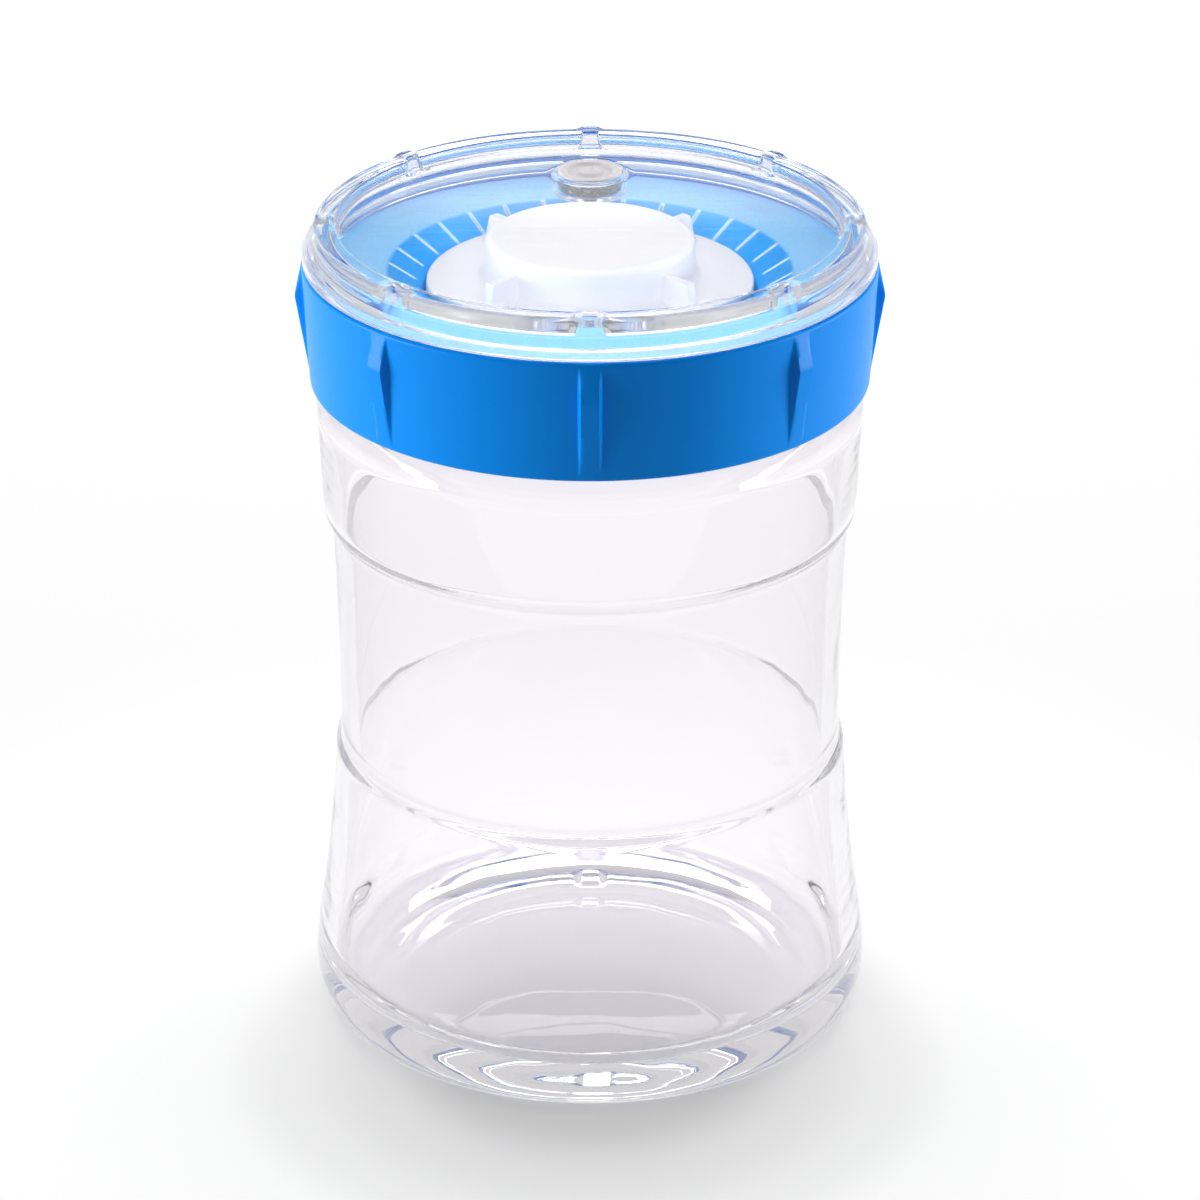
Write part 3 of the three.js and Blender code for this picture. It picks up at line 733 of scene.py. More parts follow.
rib_bottom, rib_top = ring_bottom + RING_EDGE, ring_top - RING_EDGE
kink = ring_top - RIB_KINK_DROP
wedge = np.minimum((height - rib_bottom) / (kink - rib_bottom), (rib_top - height) / (rib_top - kink))
beside = np.abs(nearest(ring_angles, GRIP_COUNT)) * ring_radius
outer_wall = radius > ring_radius - 0.5
rib = RIB_HEIGHT * np.clip(wedge, 0, 1) * ease((rib_half + RIB_EDGE - beside) / (2 * RIB_EDGE)) * outer_wall
lug_base = ridge_height + THREAD_LEAD * LUG_LEAD_IN / (2 * math.pi) - RIDGE_HALF - RIDGE_TIP - LUG_CLEARANCE
lug = thread_bump(ring_angles, height, RIDGE_START + LUG_LEAD_IN, LUG_SWEEP, lug_base)
bore_rows = (np.abs(radius - thread_bore) < 0.01) & (height < lip_bottom - 1)
ring_points = circles(radius + rib - RIDGE_DEPTH * lug * bore_rows, height, ring_angles)
make_piece("ring_moulding", ring_points, blue_plastic, "screw_ring", "lid")

# %% [markdown]
# ## The slotted dish
#
# The dish lies on the ring's lip. Its flat deck falls into a cone with fine radial slots, where brine drains,
# and a collar below guides the press. The slots go right through: their cells are left out of the grid on
# the top and the underside, and four walls close each cut. A boolean would do it too, but it leaves long thin
# faces that shade badly on the cone. Beside a slot the top falls off in a quarter circle, and that round edge
# catches the light as a fine bright line. A painted highlight in the dish's colour makes that line paler.


# %% Faces of a grid with cuts through it
def pierced(rows, count, under, over, cut):
    """Faces of a closed grid with cells cut out of two facing stretches, and walls between them.

    `under` and `over` are the row numbers of the two stretches, both from the axis outwards, and `cut` marks
    the cells to take out. A wall stands wherever a cut cell meets one that stays, and faces the cut."""
    faces = quads(rows, count).reshape(rows, count, 4)
    keep = np.ones((rows, count), bool)
    keep[under[:-1]] &= ~cut
    keep[over[1:]] &= ~cut
    edge = np.pad(cut, ((1, 1), (0, 0)))
    right = (np.arange(count) + 1) % count
    walls = [faces[keep]]
    for outer, inner, flip in ((edge[1:], edge[:-1], 1), (edge[:-1], edge[1:], -1)):
        i, c = np.nonzero(outer & ~inner)
        low, high = under[i] * count, over[i] * count
        ring = [low + c, low + right[c], high + right[c], high + c]
        walls.append(np.stack(ring[::flip], axis=-1))
    before = np.roll(cut, 1, axis=1)
    for ahead, behind, flip in ((cut, before, 1), (before, cut, -1)):
        i, c = np.nonzero(ahead & ~behind)
        ring = [under[i] * count + c, over[i] * count + c, over[i + 1] * count + c, under[i + 1] * count + c]
        walls.append(np.stack(ring[::flip], axis=-1))
    return np.concatenate(walls)


# %% Sizes of the dish
SPIGOT_GAP = 0.6
DECK_THICKNESS = 1.3
CONE_RUN = 7.9
DISH_DEPTH = 4.8
COLLAR_WALL = 1.6
COLLAR_LIP = 1.6
BRIM_RADIUS = 35.6
BRIM_CLEARANCE = 0.5
SKIRT_INSET = 1.2
SLOT_WIDTH = 0.45
SLOT_MARGIN = 0.6
SLOT_ROUND = 0.35
SLOT_ROWS = 6
SLOT_SHARES = np.array([0, 0.2, 0.5, 1])

collar_bottom, deck_top = heights("strainer")
deck_bottom = deck_top - DECK_THICKNESS
collar_top = deck_top - DISH_DEPTH
collar_bore = BRIM_RADIUS + BRIM_CLEARANCE
collar_radius = collar_bore + COLLAR_WALL
cone_radius = collar_bore + CONE_RUN
deck_radius = upstand_bore - SPIGOT_GAP
skirt_radius = BRIM_RADIUS - SKIRT_INSET
stop_radius = skirt_radius + BRIM_CLEARANCE
print(f"deck {deck_radius:.1f} mm in radius, cone from {cone_radius:.1f} to {collar_bore:.1f} mm")

# %% Rows of the dish
slot_radii = np.linspace(collar_radius + SLOT_MARGIN, cone_radius - SLOT_MARGIN, SLOT_ROWS + 1)
under_cone = ([collar_radius, cone_radius], [collar_top - DECK_THICKNESS, deck_bottom])
over_cone = ([collar_bore, cone_radius], [collar_top, deck_top])
under_slot = np.column_stack([slot_radii, np.interp(slot_radii, *under_cone)])
over_slot = np.column_stack([slot_radii, np.interp(slot_radii, *over_cone)])

collar_rows = stations(rounded([
    (*over_slot[0], 0),
    (collar_bore, collar_top, 0.8),
    (collar_bore, collar_bottom + COLLAR_LIP, 0.4),
    (stop_radius, collar_bottom + COLLAR_LIP, 0.3),
    (stop_radius, collar_bottom, 0.3),
    (collar_radius, collar_bottom, 0.4),
    (collar_radius, collar_top - DECK_THICKNESS, 0.6),
    (*under_slot[0], 0),
]), 1.2, closed=False)
deck_rows = stations(rounded([
    (*under_slot[-1], 0),
    (cone_radius, deck_bottom, 0.6),
    (deck_radius, deck_bottom, 0.4),
    (deck_radius, deck_top, 0.4),
    (cone_radius, deck_top, 0.8),
    (*over_slot[-1], 0),
]), 1.2, closed=False)
dish_rows = np.vstack([collar_rows, under_slot[1:-1], deck_rows, over_slot[-2:0:-1]])
under_index = len(collar_rows) - 1 + np.arange(SLOT_ROWS + 1)
over_index = (len(dish_rows) - np.arange(SLOT_ROWS + 1)) % len(dish_rows)
print(f"dish of {len(dish_rows)} rows, slots over {SLOT_ROWS} of them")

# %% Slotted dish
slot_half, slot_circle = SLOT_WIDTH / 2, slot_radii.mean()
slot_sides = slot_half + SLOT_ROUND * SLOT_SHARES
slot_offsets = np.concatenate([-slot_sides, slot_sides]) / slot_circle
dish_angles = columns(4 * SLOT_COUNT, SLOT_COUNT, SLOT_START, slot_offsets)
middle_angle = (dish_angles + np.append(dish_angles[1:], 2 * math.pi)) / 2
in_slot = np.abs(nearest(middle_angle, SLOT_COUNT, SLOT_START)) * slot_circle < slot_half
dish_points = circles(dish_rows[:, :1], dish_rows[:, 1:], dish_angles[None, :])
past_edge = np.abs(nearest(dish_angles, SLOT_COUNT, SLOT_START)) * slot_circle - slot_half
inward = np.clip(SLOT_ROUND - past_edge, 0, SLOT_ROUND)
dish_points[over_index, :, 2] -= SLOT_ROUND - np.sqrt(SLOT_ROUND ** 2 - inward ** 2)
slot_cells = np.tile(in_slot, (SLOT_ROWS, 1))
dish_faces = pierced(len(dish_rows), len(dish_angles), under_index, over_index, slot_cells)
dish = make_piece("dish_moulding", dish_points, thin_blue_plastic, "strainer", "lid",
                  faces=dish_faces)

# %% [markdown]
# ## The clear cover
#
# The cover's rim stands round a sunken disc, and the valve sits in a cup near the back. The cup is off the
# axis, so a plain turned shape can't hold it. But circles may have their centres anywhere: the rows start
# as circles about the vent hole, move and grow below the disc until they are circles about the jar, go over
# the rim, and come back on top. One skin of one grid then holds the vent, the cup, the disc and the rim.

# %% Sizes of the cover
COVER_INSET = 0.2
COVER_WALL = 1.9
COVER_WALL_HEIGHT = 3.0
COVER_SEAT_GAP = 0.2
RIM_WIDTH = 7.6
RIM_CREST = 4.6
DISC_RECESS = 2.8
DISC_THICKNESS = 2.0
SPIGOT_WALL = 2.8
SEAL_LIFT = 0.7
SEAL_HEIGHT = 1.4
SEAL_DEPTH = 1.5
SEAT_GAP = 0.1
VALVE_MARGIN = 8.8
CUP_RADIUS = 7.5
CUP_WALL = 0.8
CUP_DEPTH = 5.6
CUP_FLOOR = 0.8
VENT_RADIUS = 1.6
RIM_LUG_WIDTH = 5.0
RIM_LUG_RISE = 0.4
RIM_LUG_SETBACK = 0.6
RIM_LUG_EDGE = 1.1
RIM_LUG_STEP = 0.2
COVER_STEP = 1.4
COVER_COLUMNS = 160

spigot_bottom, lug_top = heights("clear_cover")
rim_top = lug_top - RIM_LUG_RISE
cover_seat = ring_top + COVER_SEAT_GAP
wall_top = cover_seat + COVER_WALL_HEIGHT
cover_radius = ring_top_radius - COVER_INSET
channel_radius = cover_radius - COVER_WALL
channel_top = wall_top - COVER_WALL / 2
rim_inner = cover_radius - RIM_WIDTH
crest_radius = rim_inner + RIM_CREST
disc_top = rim_top - DISC_RECESS
disc_bottom = disc_top - DISC_THICKNESS
spigot_radius = upstand_bore - SPIGOT_GAP
spigot_inner = spigot_radius - SPIGOT_WALL
groove_radius = spigot_radius - SEAL_DEPTH
groove_bottom = spigot_bottom + SEAL_LIFT
groove_top = groove_bottom + SEAL_HEIGHT + 2 * SEAT_GAP
cup_floor = disc_top - CUP_DEPTH
valve_offset = rim_inner - VALVE_MARGIN - CUP_RADIUS
cup_outer = CUP_RADIUS + CUP_WALL
lug_radius = rim_inner + RIM_LUG_SETBACK
print(f"disc {rim_inner:.1f} mm in radius, valve {valve_offset:.1f} mm behind its middle")

# %% Outline of the cover
cover_outline = rounded([
    (VENT_RADIUS, cup_floor, 0.2),
    (VENT_RADIUS, cup_floor - CUP_FLOOR, 0.2),
    (cup_outer, cup_floor - CUP_FLOOR, 0.4),
    (cup_outer, disc_bottom, 0.4),
    (spigot_inner, disc_bottom, 0.6),
    (spigot_inner, spigot_bottom, 0.5),
    (spigot_radius, spigot_bottom, 0.5),
    (spigot_radius, groove_bottom, 0.2),
    (groove_radius, groove_bottom, 0.2),
    (groove_radius, groove_top, 0.2),
    (spigot_radius, groove_top, 0.2),
    (spigot_radius, channel_top, 0.3),
    (channel_radius, channel_top, 0.3),
    (channel_radius, cover_seat, 0.4),
    (cover_radius, cover_seat, 0.5),
    (cover_radius, wall_top, 0.8),
    (crest_radius, rim_top, 0.9),
    (rim_inner, rim_top, 0.5),
    (rim_inner, disc_top, 0.6),
    (CUP_RADIUS, disc_top, 0.3),
    (CUP_RADIUS, cup_floor, 0.5),
])
print(f"cover outline of {len(cover_outline)} points")

# %% Clear cover
by_lug = (np.abs(cover_outline[:, 0] - lug_radius) < 1) & (cover_outline[:, 1] > disc_top)
cover_rows = stations(cover_outline, np.where(by_lug, RIM_LUG_STEP, COVER_STEP))
lug_half = RIM_LUG_WIDTH / 2
lug_offsets = edge_offsets(lug_half, RIM_LUG_EDGE, cover_radius)
cover_angles = columns(COVER_COLUMNS, GRIP_COUNT, 0, lug_offsets)[None, :]
radius, height = cover_rows.T[:, :, None]

cup_side, rim_side = cup_outer + 0.6, rim_inner - 0.8
centre = valve_offset * np.clip((rim_side - radius) / (rim_side - cup_side), 0, 1)
slope = np.clip((radius - crest_radius) / (cover_radius - crest_radius), 0, 1)
lug_height = lug_top - slope * (lug_top - wall_top)
beside = np.abs(nearest(cover_angles, GRIP_COUNT)) * cover_radius
lug = ease((lug_half - beside) / (2 * RIM_LUG_EDGE) + 0.5)
lug = lug * ease((radius - lug_radius) / (2 * RIM_LUG_EDGE) + 0.5) * (height > wall_top)
cover_height = height + np.maximum(lug_height - height, 0) * lug
cover_points = circles(radius, cover_height, cover_angles, centre)
make_piece("cover_moulding", cover_points, clear_plastic, "clear_cover", "cover")

# %% [markdown]
# ## Seal, valve plug and wiper
#
# Three small silicone turnings. The O-ring sits in the groove of the cover's spigot, the plug closes the vent
# and has a nub to pinch it out by, and the wiper rubs on the collar so that the press stays where it is put.

# %% Cover seal
SEAL_PROUD = 0.3

seal_inner = spigot_radius - SEAL_DEPTH + SEAT_GAP
seal_outline = soft_ring(seal_inner, spigot_radius + SEAL_PROUD, "cover_seal", 0.5, 0.9, 0.68)
make_turned("cover_seal_ring", stations(seal_outline, step=0.6, turn=18), columns(SEAL_COLUMNS),
            pale_silicone, "cover_seal", "cover")

# %% Valve plug
PLUG_CLEARANCE = 0.35
PLUG_FLOOR_GAP = 0.3
PLUG_LIP = 1.6
PLUG_DISH = 0.9
PLUG_NUB = 2.0
PLUG_COLUMNS = 72

nipple_bottom, plug_top = heights("valve_plug")
plug_radius = CUP_RADIUS - PLUG_CLEARANCE
nipple_radius = VENT_RADIUS - PLUG_CLEARANCE
plug_bottom = cup_floor + PLUG_FLOOR_GAP
dish_floor = plug_top - PLUG_DISH
plug_outline = rounded([
    (0, nipple_bottom, 0),
    (nipple_radius, nipple_bottom, 0.4),
    (nipple_radius, plug_bottom, 0.2),
    (plug_radius, plug_bottom, 0.4),
    (plug_radius, plug_top, 0.5),
    (plug_radius - PLUG_LIP, plug_top, 0.3),
    (plug_radius - PLUG_LIP - PLUG_DISH, dish_floor, 0.4),
    (PLUG_NUB + PLUG_DISH, dish_floor, 0.4),
    (PLUG_NUB, plug_top, 0.6),
    (0, plug_top, 0),
])
plug_rows = stations(plug_outline, 0.6, closed=False)
plug_points = circles(plug_rows[:, :1], plug_rows[:, 1:], columns(PLUG_COLUMNS)[None, :], valve_offset)
make_piece("valve_plug_moulding", plug_points, grey_silicone, "valve_plug", "valve",
           closed=False)

# %% Wiper
WIPER_GROOVE = 0.7
WIPER_CLEARANCE = 0.3
WIPER_COLUMNS = 112

wiper_inner = skirt_radius - WIPER_GROOVE + SEAT_GAP
wiper_outline = soft_ring(wiper_inner, collar_bore - WIPER_CLEARANCE, "press_wiper", 0.3, 0.7, 0.7)
make_turned("wiper_ring", stations(wiper_outline, step=0.6, turn=18), columns(WIPER_COLUMNS), pale_silicone,
            "press_wiper", "press")

# %% [markdown]
# ## The press
#
# The bell is what the hand pushes: a wide brim, a low tier and a round crown with four upright fins, over a
# long skirt that slides in the collar. The fins are lifts of height on the tier, with rows set close together
# at their outer ends.

# %% Sizes of the bell
BRIM_THICKNESS = 4.2
BRIM_PROUD = 2.6
BELL_WALL = 1.8
TIER_RISE = 0.8
CROWN_RADIUS = 23.0
CROWN_TAPER = 0.3
CROWN_ROUND = 1.7
FIN_COUNT = 4
FIN_THICKNESS = 3.0
FIN_REACH = 8.0
FIN_DROP = 3.0
FIN_EDGE = 0.3
FIN_START = math.pi / FIN_COUNT
FIN_STEP = 0.2
BELL_STEP = 0.9
BELL_COLUMNS = 144

skirt_bottom, crown_top = heights("press_bell")
brim_top = collar_top + BRIM_PROUD
crown_edge_radius = CROWN_RADIUS - CROWN_TAPER
groove = skirt_radius - WIPER_GROOVE
skirt_inner = skirt_radius - BELL_WALL
wiper_groove_bottom = heights("press_wiper")[0] - SEAT_GAP
fin_end = CROWN_RADIUS + FIN_REACH
print(f"bell {crown_top - skirt_bottom:.1f} mm tall, fins out to {fin_end:.1f} mm")

# %% Press bell
bell_outline = rounded([
    (0, crown_top - BELL_WALL, 0),
    (crown_edge_radius - BELL_WALL, crown_top - BELL_WALL, 1),
    (CROWN_RADIUS - BELL_WALL, brim_top + TIER_RISE - BELL_WALL, 1),
    (skirt_inner, brim_top - BELL_WALL, 1),
    (skirt_inner, skirt_bottom, 0.4),
    (skirt_radius, skirt_bottom, 0.4),
    (skirt_radius, wiper_groove_bottom, 0.2),
    (groove, wiper_groove_bottom, 0.1),
    (groove, brim_top - BRIM_THICKNESS, 0.1),
    (BRIM_RADIUS, brim_top - BRIM_THICKNESS, 0.4),
    (BRIM_RADIUS, brim_top, 0.7),
    (CROWN_RADIUS, brim_top + TIER_RISE, 1.6),
    (crown_edge_radius, crown_top, CROWN_ROUND),
    (0, crown_top, 0),
])
by_fin_end = np.abs(bell_outline[:, 0] - fin_end) < 1
bell_rows = stations(bell_outline, np.where(by_fin_end, FIN_STEP, BELL_STEP), turn=8, closed=False)
fin_half = FIN_THICKNESS / 2
fin_offsets = edge_offsets(fin_half, FIN_EDGE, fin_end)
bell_angles = columns(BELL_COLUMNS, FIN_COUNT, FIN_START, fin_offsets)[None, :]
radius, height = bell_rows.T[:, :, None]

outer_rows = (np.arange(len(bell_rows)) > np.argmax(bell_rows[:, 0]))[:, None]
fin_top = crown_top - FIN_DROP
beside = np.abs(nearest(bell_angles, FIN_COUNT, FIN_START)) * fin_end
fin = ease((fin_half + FIN_EDGE - beside) / (2 * FIN_EDGE))
fin = fin * ease((fin_end + FIN_EDGE - radius) / (2 * FIN_EDGE)) * outer_rows
bell_height = height + np.maximum(fin_top - height, 0) * fin
bell_points = circles(radius, bell_height, bell_angles)
bell = make_piece("bell_moulding", bell_points, white_plastic, "press_bell", "press",
                  closed=False)

# %% [markdown]
# The plate snaps into the skirt and has round holes that let brine through. It is a grid with cuts again.
# A cut of whole cells would be square, so near each hole the grid itself is bent: square rings about the
# hole turn into circles, and go back to squares one hole width further out.

# %% Sizes of the plate
PLATE_THICKNESS = 1.8
PLATE_RING_WALL = 1.4
PLATE_CLEARANCE = 0.3
HOLE_RADIUS = 2.4
HOLE_RINGS = 2
HOLES_PER_RING = 6
PLATE_MARGIN = 8.9
HOLE_SHARES = np.linspace(-1, 1, 7)
PLATE_COLUMNS = 72

plate_bottom, plate_ring_top = heights("press_plate")
plate_top = plate_bottom + PLATE_THICKNESS
plate_ring_outer = skirt_inner - PLATE_CLEARANCE
plate_ring_inner = plate_ring_outer - PLATE_RING_WALL
hole_pitch = (plate_ring_inner - PLATE_MARGIN) / HOLE_RINGS
hole_circles = hole_pitch * np.arange(1, HOLE_RINGS + 1)
hole_counts = HOLES_PER_RING * np.arange(1, HOLE_RINGS + 1)
print(f"plate with {hole_counts.sum()} holes, {hole_pitch:.1f} mm apart")

# %% Rows of the plate
plain_radii = np.linspace(HOLE_RADIUS, hole_circles[-1] + 2 * HOLE_RADIUS, 12)
hole_radii = (hole_circles[:, None] + HOLE_RADIUS * HOLE_SHARES).ravel()
plate_radii = np.unique(np.round(np.concatenate([plain_radii, hole_radii]), 4))
plate_edge = stations(rounded([
    (plate_radii[-1], plate_bottom, 0),
    (skirt_radius, plate_bottom, 0.5),
    (skirt_radius, plate_top, 0.3),
    (plate_ring_outer, plate_top, 0.2),
    (plate_ring_outer, plate_ring_top, 0.3),
    (plate_ring_inner, plate_ring_top, 0.3),
    (plate_ring_inner, plate_top, 0.2),
    (plate_radii[-1], plate_top, 0),
]), 0.8, closed=False)
under_plate = np.column_stack([plate_radii, np.full_like(plate_radii, plate_bottom)])
over_plate = np.column_stack([plate_radii, np.full_like(plate_radii, plate_top)])
plate_rows = np.vstack([under_plate[:-1], plate_edge, over_plate[-2::-1]])
under_index = np.arange(len(plate_radii))
over_index = len(plate_rows) - 1 - under_index
print(f"plate of {len(plate_rows)} rows")

# %% Perforated plate
plate_angles = np.unique(np.concatenate([
    columns(PLATE_COLUMNS, count, 0, HOLE_RADIUS * HOLE_SHARES / circle)
    for circle, count in zip(hole_circles, hole_counts)]))
plate_angles = plate_angles[np.append(True, np.diff(plate_angles) > 1e-3)][None, :]
radius = plate_rows[:, :1] + 0 * plate_angles
angle = plate_angles + 0 * plate_rows[:, :1]
middle_radius = (plate_radii[1:, None] + plate_radii[:-1, None]) / 2
middle_angle = (plate_angles + np.append(plate_angles[0, 1:], 2 * math.pi)) / 2
holes = np.zeros((len(plate_radii) - 1, plate_angles.size), bool)
for circle, count in zip(hole_circles, hole_counts):
    out, along = plate_rows[:, :1] - circle, nearest(plate_angles, count) * circle
    square = np.maximum(np.abs(out), np.abs(along))
    back = ease(square / HOLE_RADIUS - 1)
    bend = square / np.maximum(np.hypot(out, along), 1e-9) * (1 - back) + back
    near = square < 2 * HOLE_RADIUS
    radius = radius + np.where(near, out * (bend - 1), 0)
    angle = angle + np.where(near, along * (bend - 1) / circle, 0)
    inside_out = np.abs(middle_radius - circle) < HOLE_RADIUS
    holes |= inside_out & (np.abs(nearest(middle_angle, count)) * circle < HOLE_RADIUS)
plate_points = circles(radius, plate_rows[:, 1:], angle)
plate_faces = pierced(len(plate_rows), plate_angles.size, under_index, over_index, holes)
make_piece("plate_moulding", plate_points, white_plastic, "press_plate", "press",
           faces=plate_faces)

# %% [markdown]
# ## Floor
#
# The jar stands on a white sweep that is as bright as paper in the photograph, with a small soft shadow. The
# floor's own colour is a plain pale grey. What the eye sees, directly or through the glass, is a darker grey
# with a glow on top. The shadow is partly the lamps' real one and partly painted by the glow: the glow is
# least under and before the jar, and far away it ends in pure white. Rays that have met a dull surface on
# their way don't get the glow, so it lights nothing.
# A thick heel or rim is a light guide, and it would pick up the sweep and the dark ceiling in hard stripes.
# So rays that were trapped in one see less glow under and behind the jar, and an even light in place of the
# ceiling: a quiet grey behind, which keeps the heel calm, and a pale one in front, which keeps the rim clear.

# %% Rays trapped in clear pieces
TRAPPED_TURNS = 4


def trapped(tree, path):
    """1 for rays with at least TRAPPED_TURNS reflections and crossings, one of them a reflection, else 0."""
    turns = add(tree, "Math", {0: path["Glossy Depth"], 1: path["Transmission Depth"]}, operation="ADD")
    many = add(tree, "Math", {0: turns, 1: TRAPPED_TURNS - 0.5}, operation="GREATER_THAN")
    bounced = add(tree, "Math", {0: path["Glossy Depth"], 1: 0.5}, operation="GREATER_THAN")
    return add(tree, "Math", {0: many, 1: bounced}, operation="MULTIPLY")


# %% Floor
FLOOR_SIZE = 8.0
FLOOR_DROP = 0.0004
FLOOR_COLOUR = "DEDEDE"
SEEN_COLOUR = "AEAEAE"
# Painted shadow: the glow is least about this point before the jar and rises away from it.
SHADOW_CENTRE = (0, -0.040, 0)
GLOW_AND_PAINTED_SHADOW = ((0, 0.38), (1, 1), (0.028, 0.39), (0.048, 0.52), (0.07, 0.6), (0.085, 0.68), (0.12, 0.68),
              (0.25, 0.58), (0.45, 0.6), (0.8, 0.95))
TRAPPED_GLOW = 0.35
TRAPPED_FROM = -0.07


def sweep_floor():
    """White sweep. Its glow is a list of levels by distance in metres from the middle of the painted shadow.

    Trapped rays see a share of it, TRAPPED_GLOW, wherever the floor's Y is more than TRAPPED_FROM."""
    material, tree, place = empty_material("sweep_floor")
    path = add(tree, "LightPath").outputs
    seen = add(tree, "Math", {0: path["Diffuse Depth"], 1: 0.5}, operation="LESS_THAN")
    # The glow's dip near the jar paints a shadow on top of the lamps' real one.
    distance = add(tree, "VectorMath", {0: place, 1: SHADOW_CENTRE}, operation="DISTANCE")
    glow = add(tree, "ValToRGB", {"Fac": distance})
    glow.color_ramp.interpolation = "EASE"
    for index, (away, level) in enumerate(GLOW_AND_PAINTED_SHADOW):
        stop = glow.color_ramp.elements[index] if index < 2 else glow.color_ramp.elements.new(away)
        stop.color = (level, level, level, 1)
    depth = add(tree, "SeparateXYZ", {"Vector": place}).outputs["Y"]
    back = add(tree, "Math", {0: depth, 1: TRAPPED_FROM}, operation="GREATER_THAN")
    dim = add(tree, "Math", {0: trapped(tree, path), 1: back}, operation="MULTIPLY")
    dimmed = add(tree, "Mix", {"Factor": dim, "A": 1.0, "B": TRAPPED_GLOW})
    share = add(tree, "Math", {0: dimmed, 1: seen}, operation="MULTIPLY")
    strength = add(tree, "Math", {0: glow, 1: share}, operation="MULTIPLY")
    grey = add(tree, "Mix", {
        "Factor": seen, "A": linear(FLOOR_COLOUR), "B": linear(SEEN_COLOUR)}, data_type="RGBA")
    paper = add(tree, "BsdfDiffuse", {"Color": grey})
    light = add(tree, "Emission", {"Strength": strength})
    both = add(tree, "AddShader", {0: paper, 1: light})
    add(tree, "OutputMaterial", {"Surface": both})
    return material


floor_mesh = bpy.data.meshes.new("floor")
half = FLOOR_SIZE / 2
floor_corners = [(-half, -half), (half, -half), (half, half), (-half, half)]
floor_mesh.from_pydata([(x, y, -FLOOR_DROP) for x, y in floor_corners], [], [(0, 1, 2, 3)])
floor_mesh.materials.append(sweep_floor())
floor = bpy.data.objects.new("floor", floor_mesh)
bpy.context.collection.objects.link(floor)
print(f"floor {FLOOR_SIZE} m wide")

# %% [markdown]
# ## Light
#
# Two softboxes stand left and right of the jar, flagged so that they don't light the sweep, and a large one
# hangs above and behind. The front is left dark, which is why the ring is deep blue in the middle and light
# at its sides. Only the press and the dish get light from the front, from a snoot that looks in through the
# cover. The snoot and the upper softbox leave no mirror image, because their glare would hide the dish from
# behind and from above. The world is white where it is seen and a quiet grey where it lights. For mirror and
# glass rays the ceiling is dark, with a black card behind the jar that keeps glare off the cover: clear glass
# shows itself only by the dark things that its edges bend into view.

# %% World
WORLD_LIGHT = 0.16
BACKDROP = 1.0
HORIZON = 0.8
CEILING = 0.2
CARD = 0.048
HEEL_LIGHT = 0.66
RIM_LIGHT = 0.9
CEILING_EDGE = (0.3415, 0.349)
CARD_EDGE = (0.12, 0.3)
GLASS_BOUNCES = 64


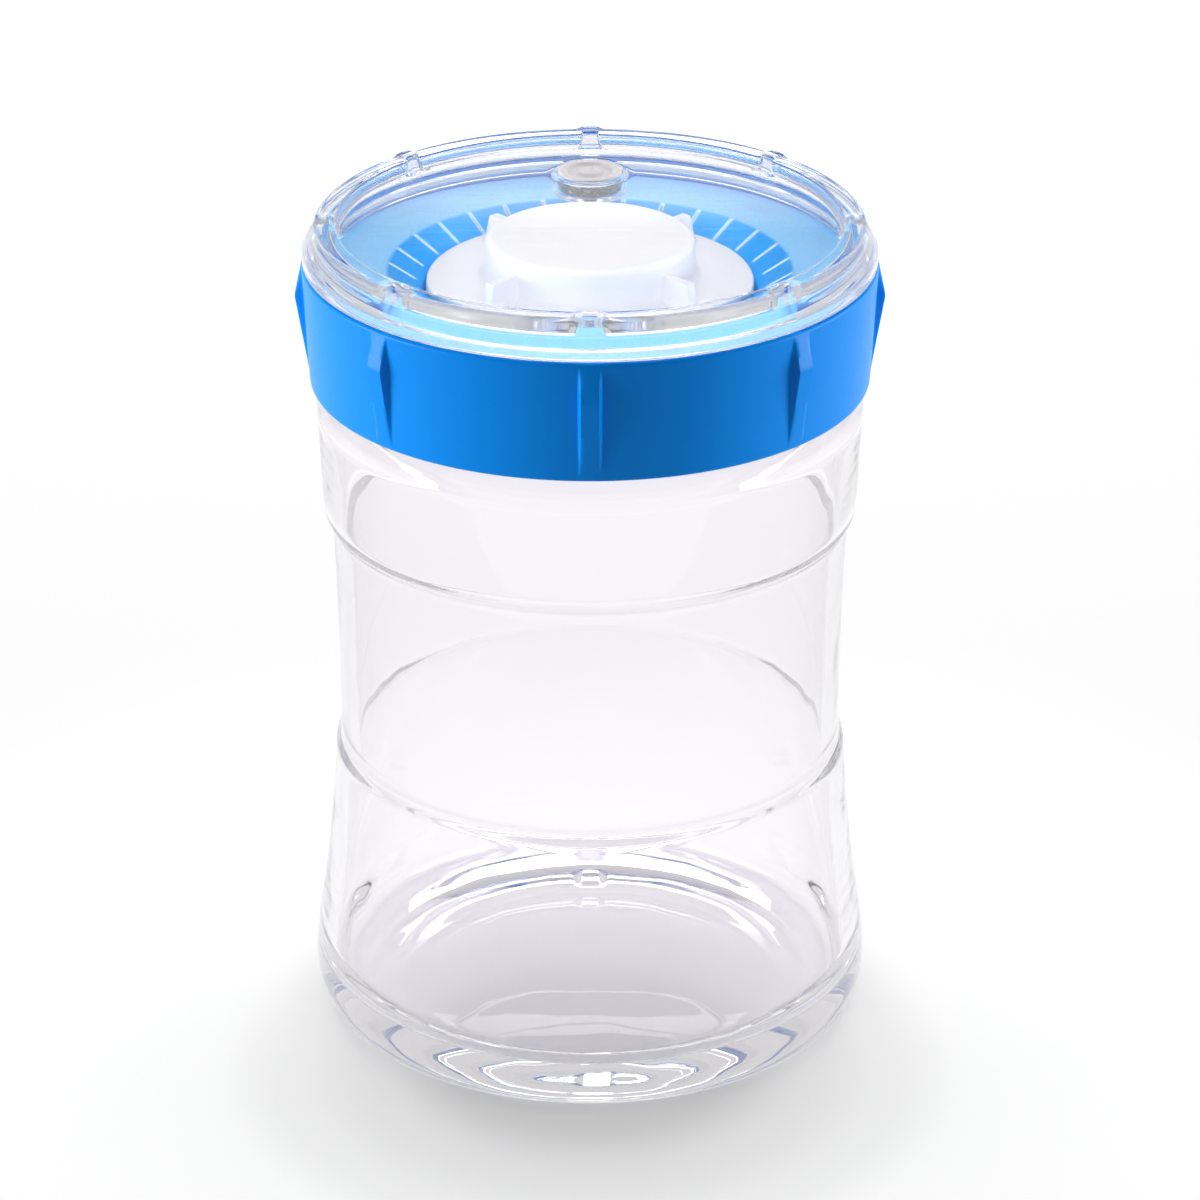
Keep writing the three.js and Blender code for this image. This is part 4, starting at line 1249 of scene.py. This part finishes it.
def studio_world():
    """World of a few even levels, mixed by the ray's direction and then by what kind of ray it is."""
    world = bpy.data.worlds.new("studio")
    world.use_nodes = True
    tree = world.node_tree
    tree.nodes.clear()
    path = add(tree, "LightPath").outputs
    direction = add(tree, "TexCoord").outputs["Generated"]
    along = add(tree, "SeparateXYZ", {"Vector": direction}).outputs
    overhead = add(tree, "MapRange", interpolation_type="SMOOTHSTEP", inputs={
        "Value": along["Z"], "From Min": CEILING_EDGE[0], "From Max": CEILING_EDGE[1]})
    aside = add(tree, "Math", {0: along["X"]}, operation="ABSOLUTE")
    middle = add(tree, "MapRange", interpolation_type="SMOOTHSTEP", inputs={
        "Value": aside, "From Min": CARD_EDGE[1], "From Max": CARD_EDGE[0]})
    behind = add(tree, "Math", {0: along["Y"], 1: 0.0}, operation="GREATER_THAN")
    card = add(tree, "Math", {0: middle, 1: behind}, operation="MULTIPLY")
    dark = add(tree, "Mix", {"Factor": card, "A": CEILING, "B": CARD})
    room = add(tree, "Mix", {"Factor": overhead, "A": HORIZON, "B": dark})
    inner = add(tree, "Mix", {"Factor": behind, "A": RIM_LIGHT, "B": HEEL_LIGHT})
    around = add(tree, "Mix", {"Factor": trapped(tree, path), "A": room, "B": inner})
    background = add(tree, "Mix", {"Factor": path["Is Camera Ray"], "A": around, "B": BACKDROP})
    lights = add(tree, "Math", {0: path["Diffuse Depth"], 1: 0.5}, operation="GREATER_THAN")
    level = add(tree, "Mix", {"Factor": lights, "A": background, "B": WORLD_LIGHT})
    light = add(tree, "Background", {"Color": linear("FFFFFF"), "Strength": level})
    add(tree, "OutputWorld", {"Surface": light})
    return world


bpy.context.scene.world = studio_world()
light_paths = bpy.context.scene.cycles
light_paths.max_bounces = light_paths.transmission_bounces = GLASS_BOUNCES
light_paths.glossy_bounces = GLASS_BOUNCES
light_paths.blur_glossy = 0.0
bpy.context.scene.view_settings.view_transform = "Standard"
print("world:", bpy.context.scene.world.name)

# %% Softboxes
AIM = (0.0, 0.0, 90.0)

inner_pieces = bpy.data.collections.new("inner_pieces")
dull_pieces = bpy.data.collections.new("dull_pieces")
for piece in pieces.objects:
    if piece in (dish, bell):
        inner_pieces.objects.link(piece)
    if piece.active_material not in (glass, clear_plastic):
        dull_pieces.objects.link(piece)


def softbox(name, place, width, depth, watts, lit=None, shading=None, mirrored=True):
    """Area lamp of `width` by `depth` mm that faces the jar.

    It may light, or be shaded by, some pieces only. One that isn't mirrored leaves no glare on gloss."""
    lamp_data = bpy.data.lights.new(name, "AREA")
    lamp_data.shape = "RECTANGLE"
    lamp_data.size, lamp_data.size_y = width * MM, depth * MM
    lamp_data.energy = watts
    lamp = bpy.data.objects.new(name, lamp_data)
    lamp.location = [value * MM for value in place]
    away = np.subtract(place, AIM)
    slope = math.atan2(math.hypot(away[0], away[1]), away[2])
    lamp.rotation_euler = (slope, 0, math.atan2(away[1], away[0]) + math.pi / 2)
    lamp.visible_camera = False
    lamp.visible_glossy = mirrored
    lamp.light_linking.receiver_collection = lit
    lamp.light_linking.blocker_collection = shading
    bpy.context.collection.objects.link(lamp)
    print(f"{name}: {watts} W")


softbox("left_softbox", (-800, -120, 190), 500, 320, watts=7.5, lit=dull_pieces, shading=dull_pieces)
softbox("right_softbox", (820, 60, 190), 500, 320, watts=6.0, lit=dull_pieces, shading=dull_pieces)
softbox("top_softbox", (0, 320, 1050), 1100, 900, watts=11.5, mirrored=False)
softbox("front_snoot", (0, -900, 455), 400, 300, watts=7.0, lit=inner_pieces, shading=inner_pieces,
        mirrored=False)
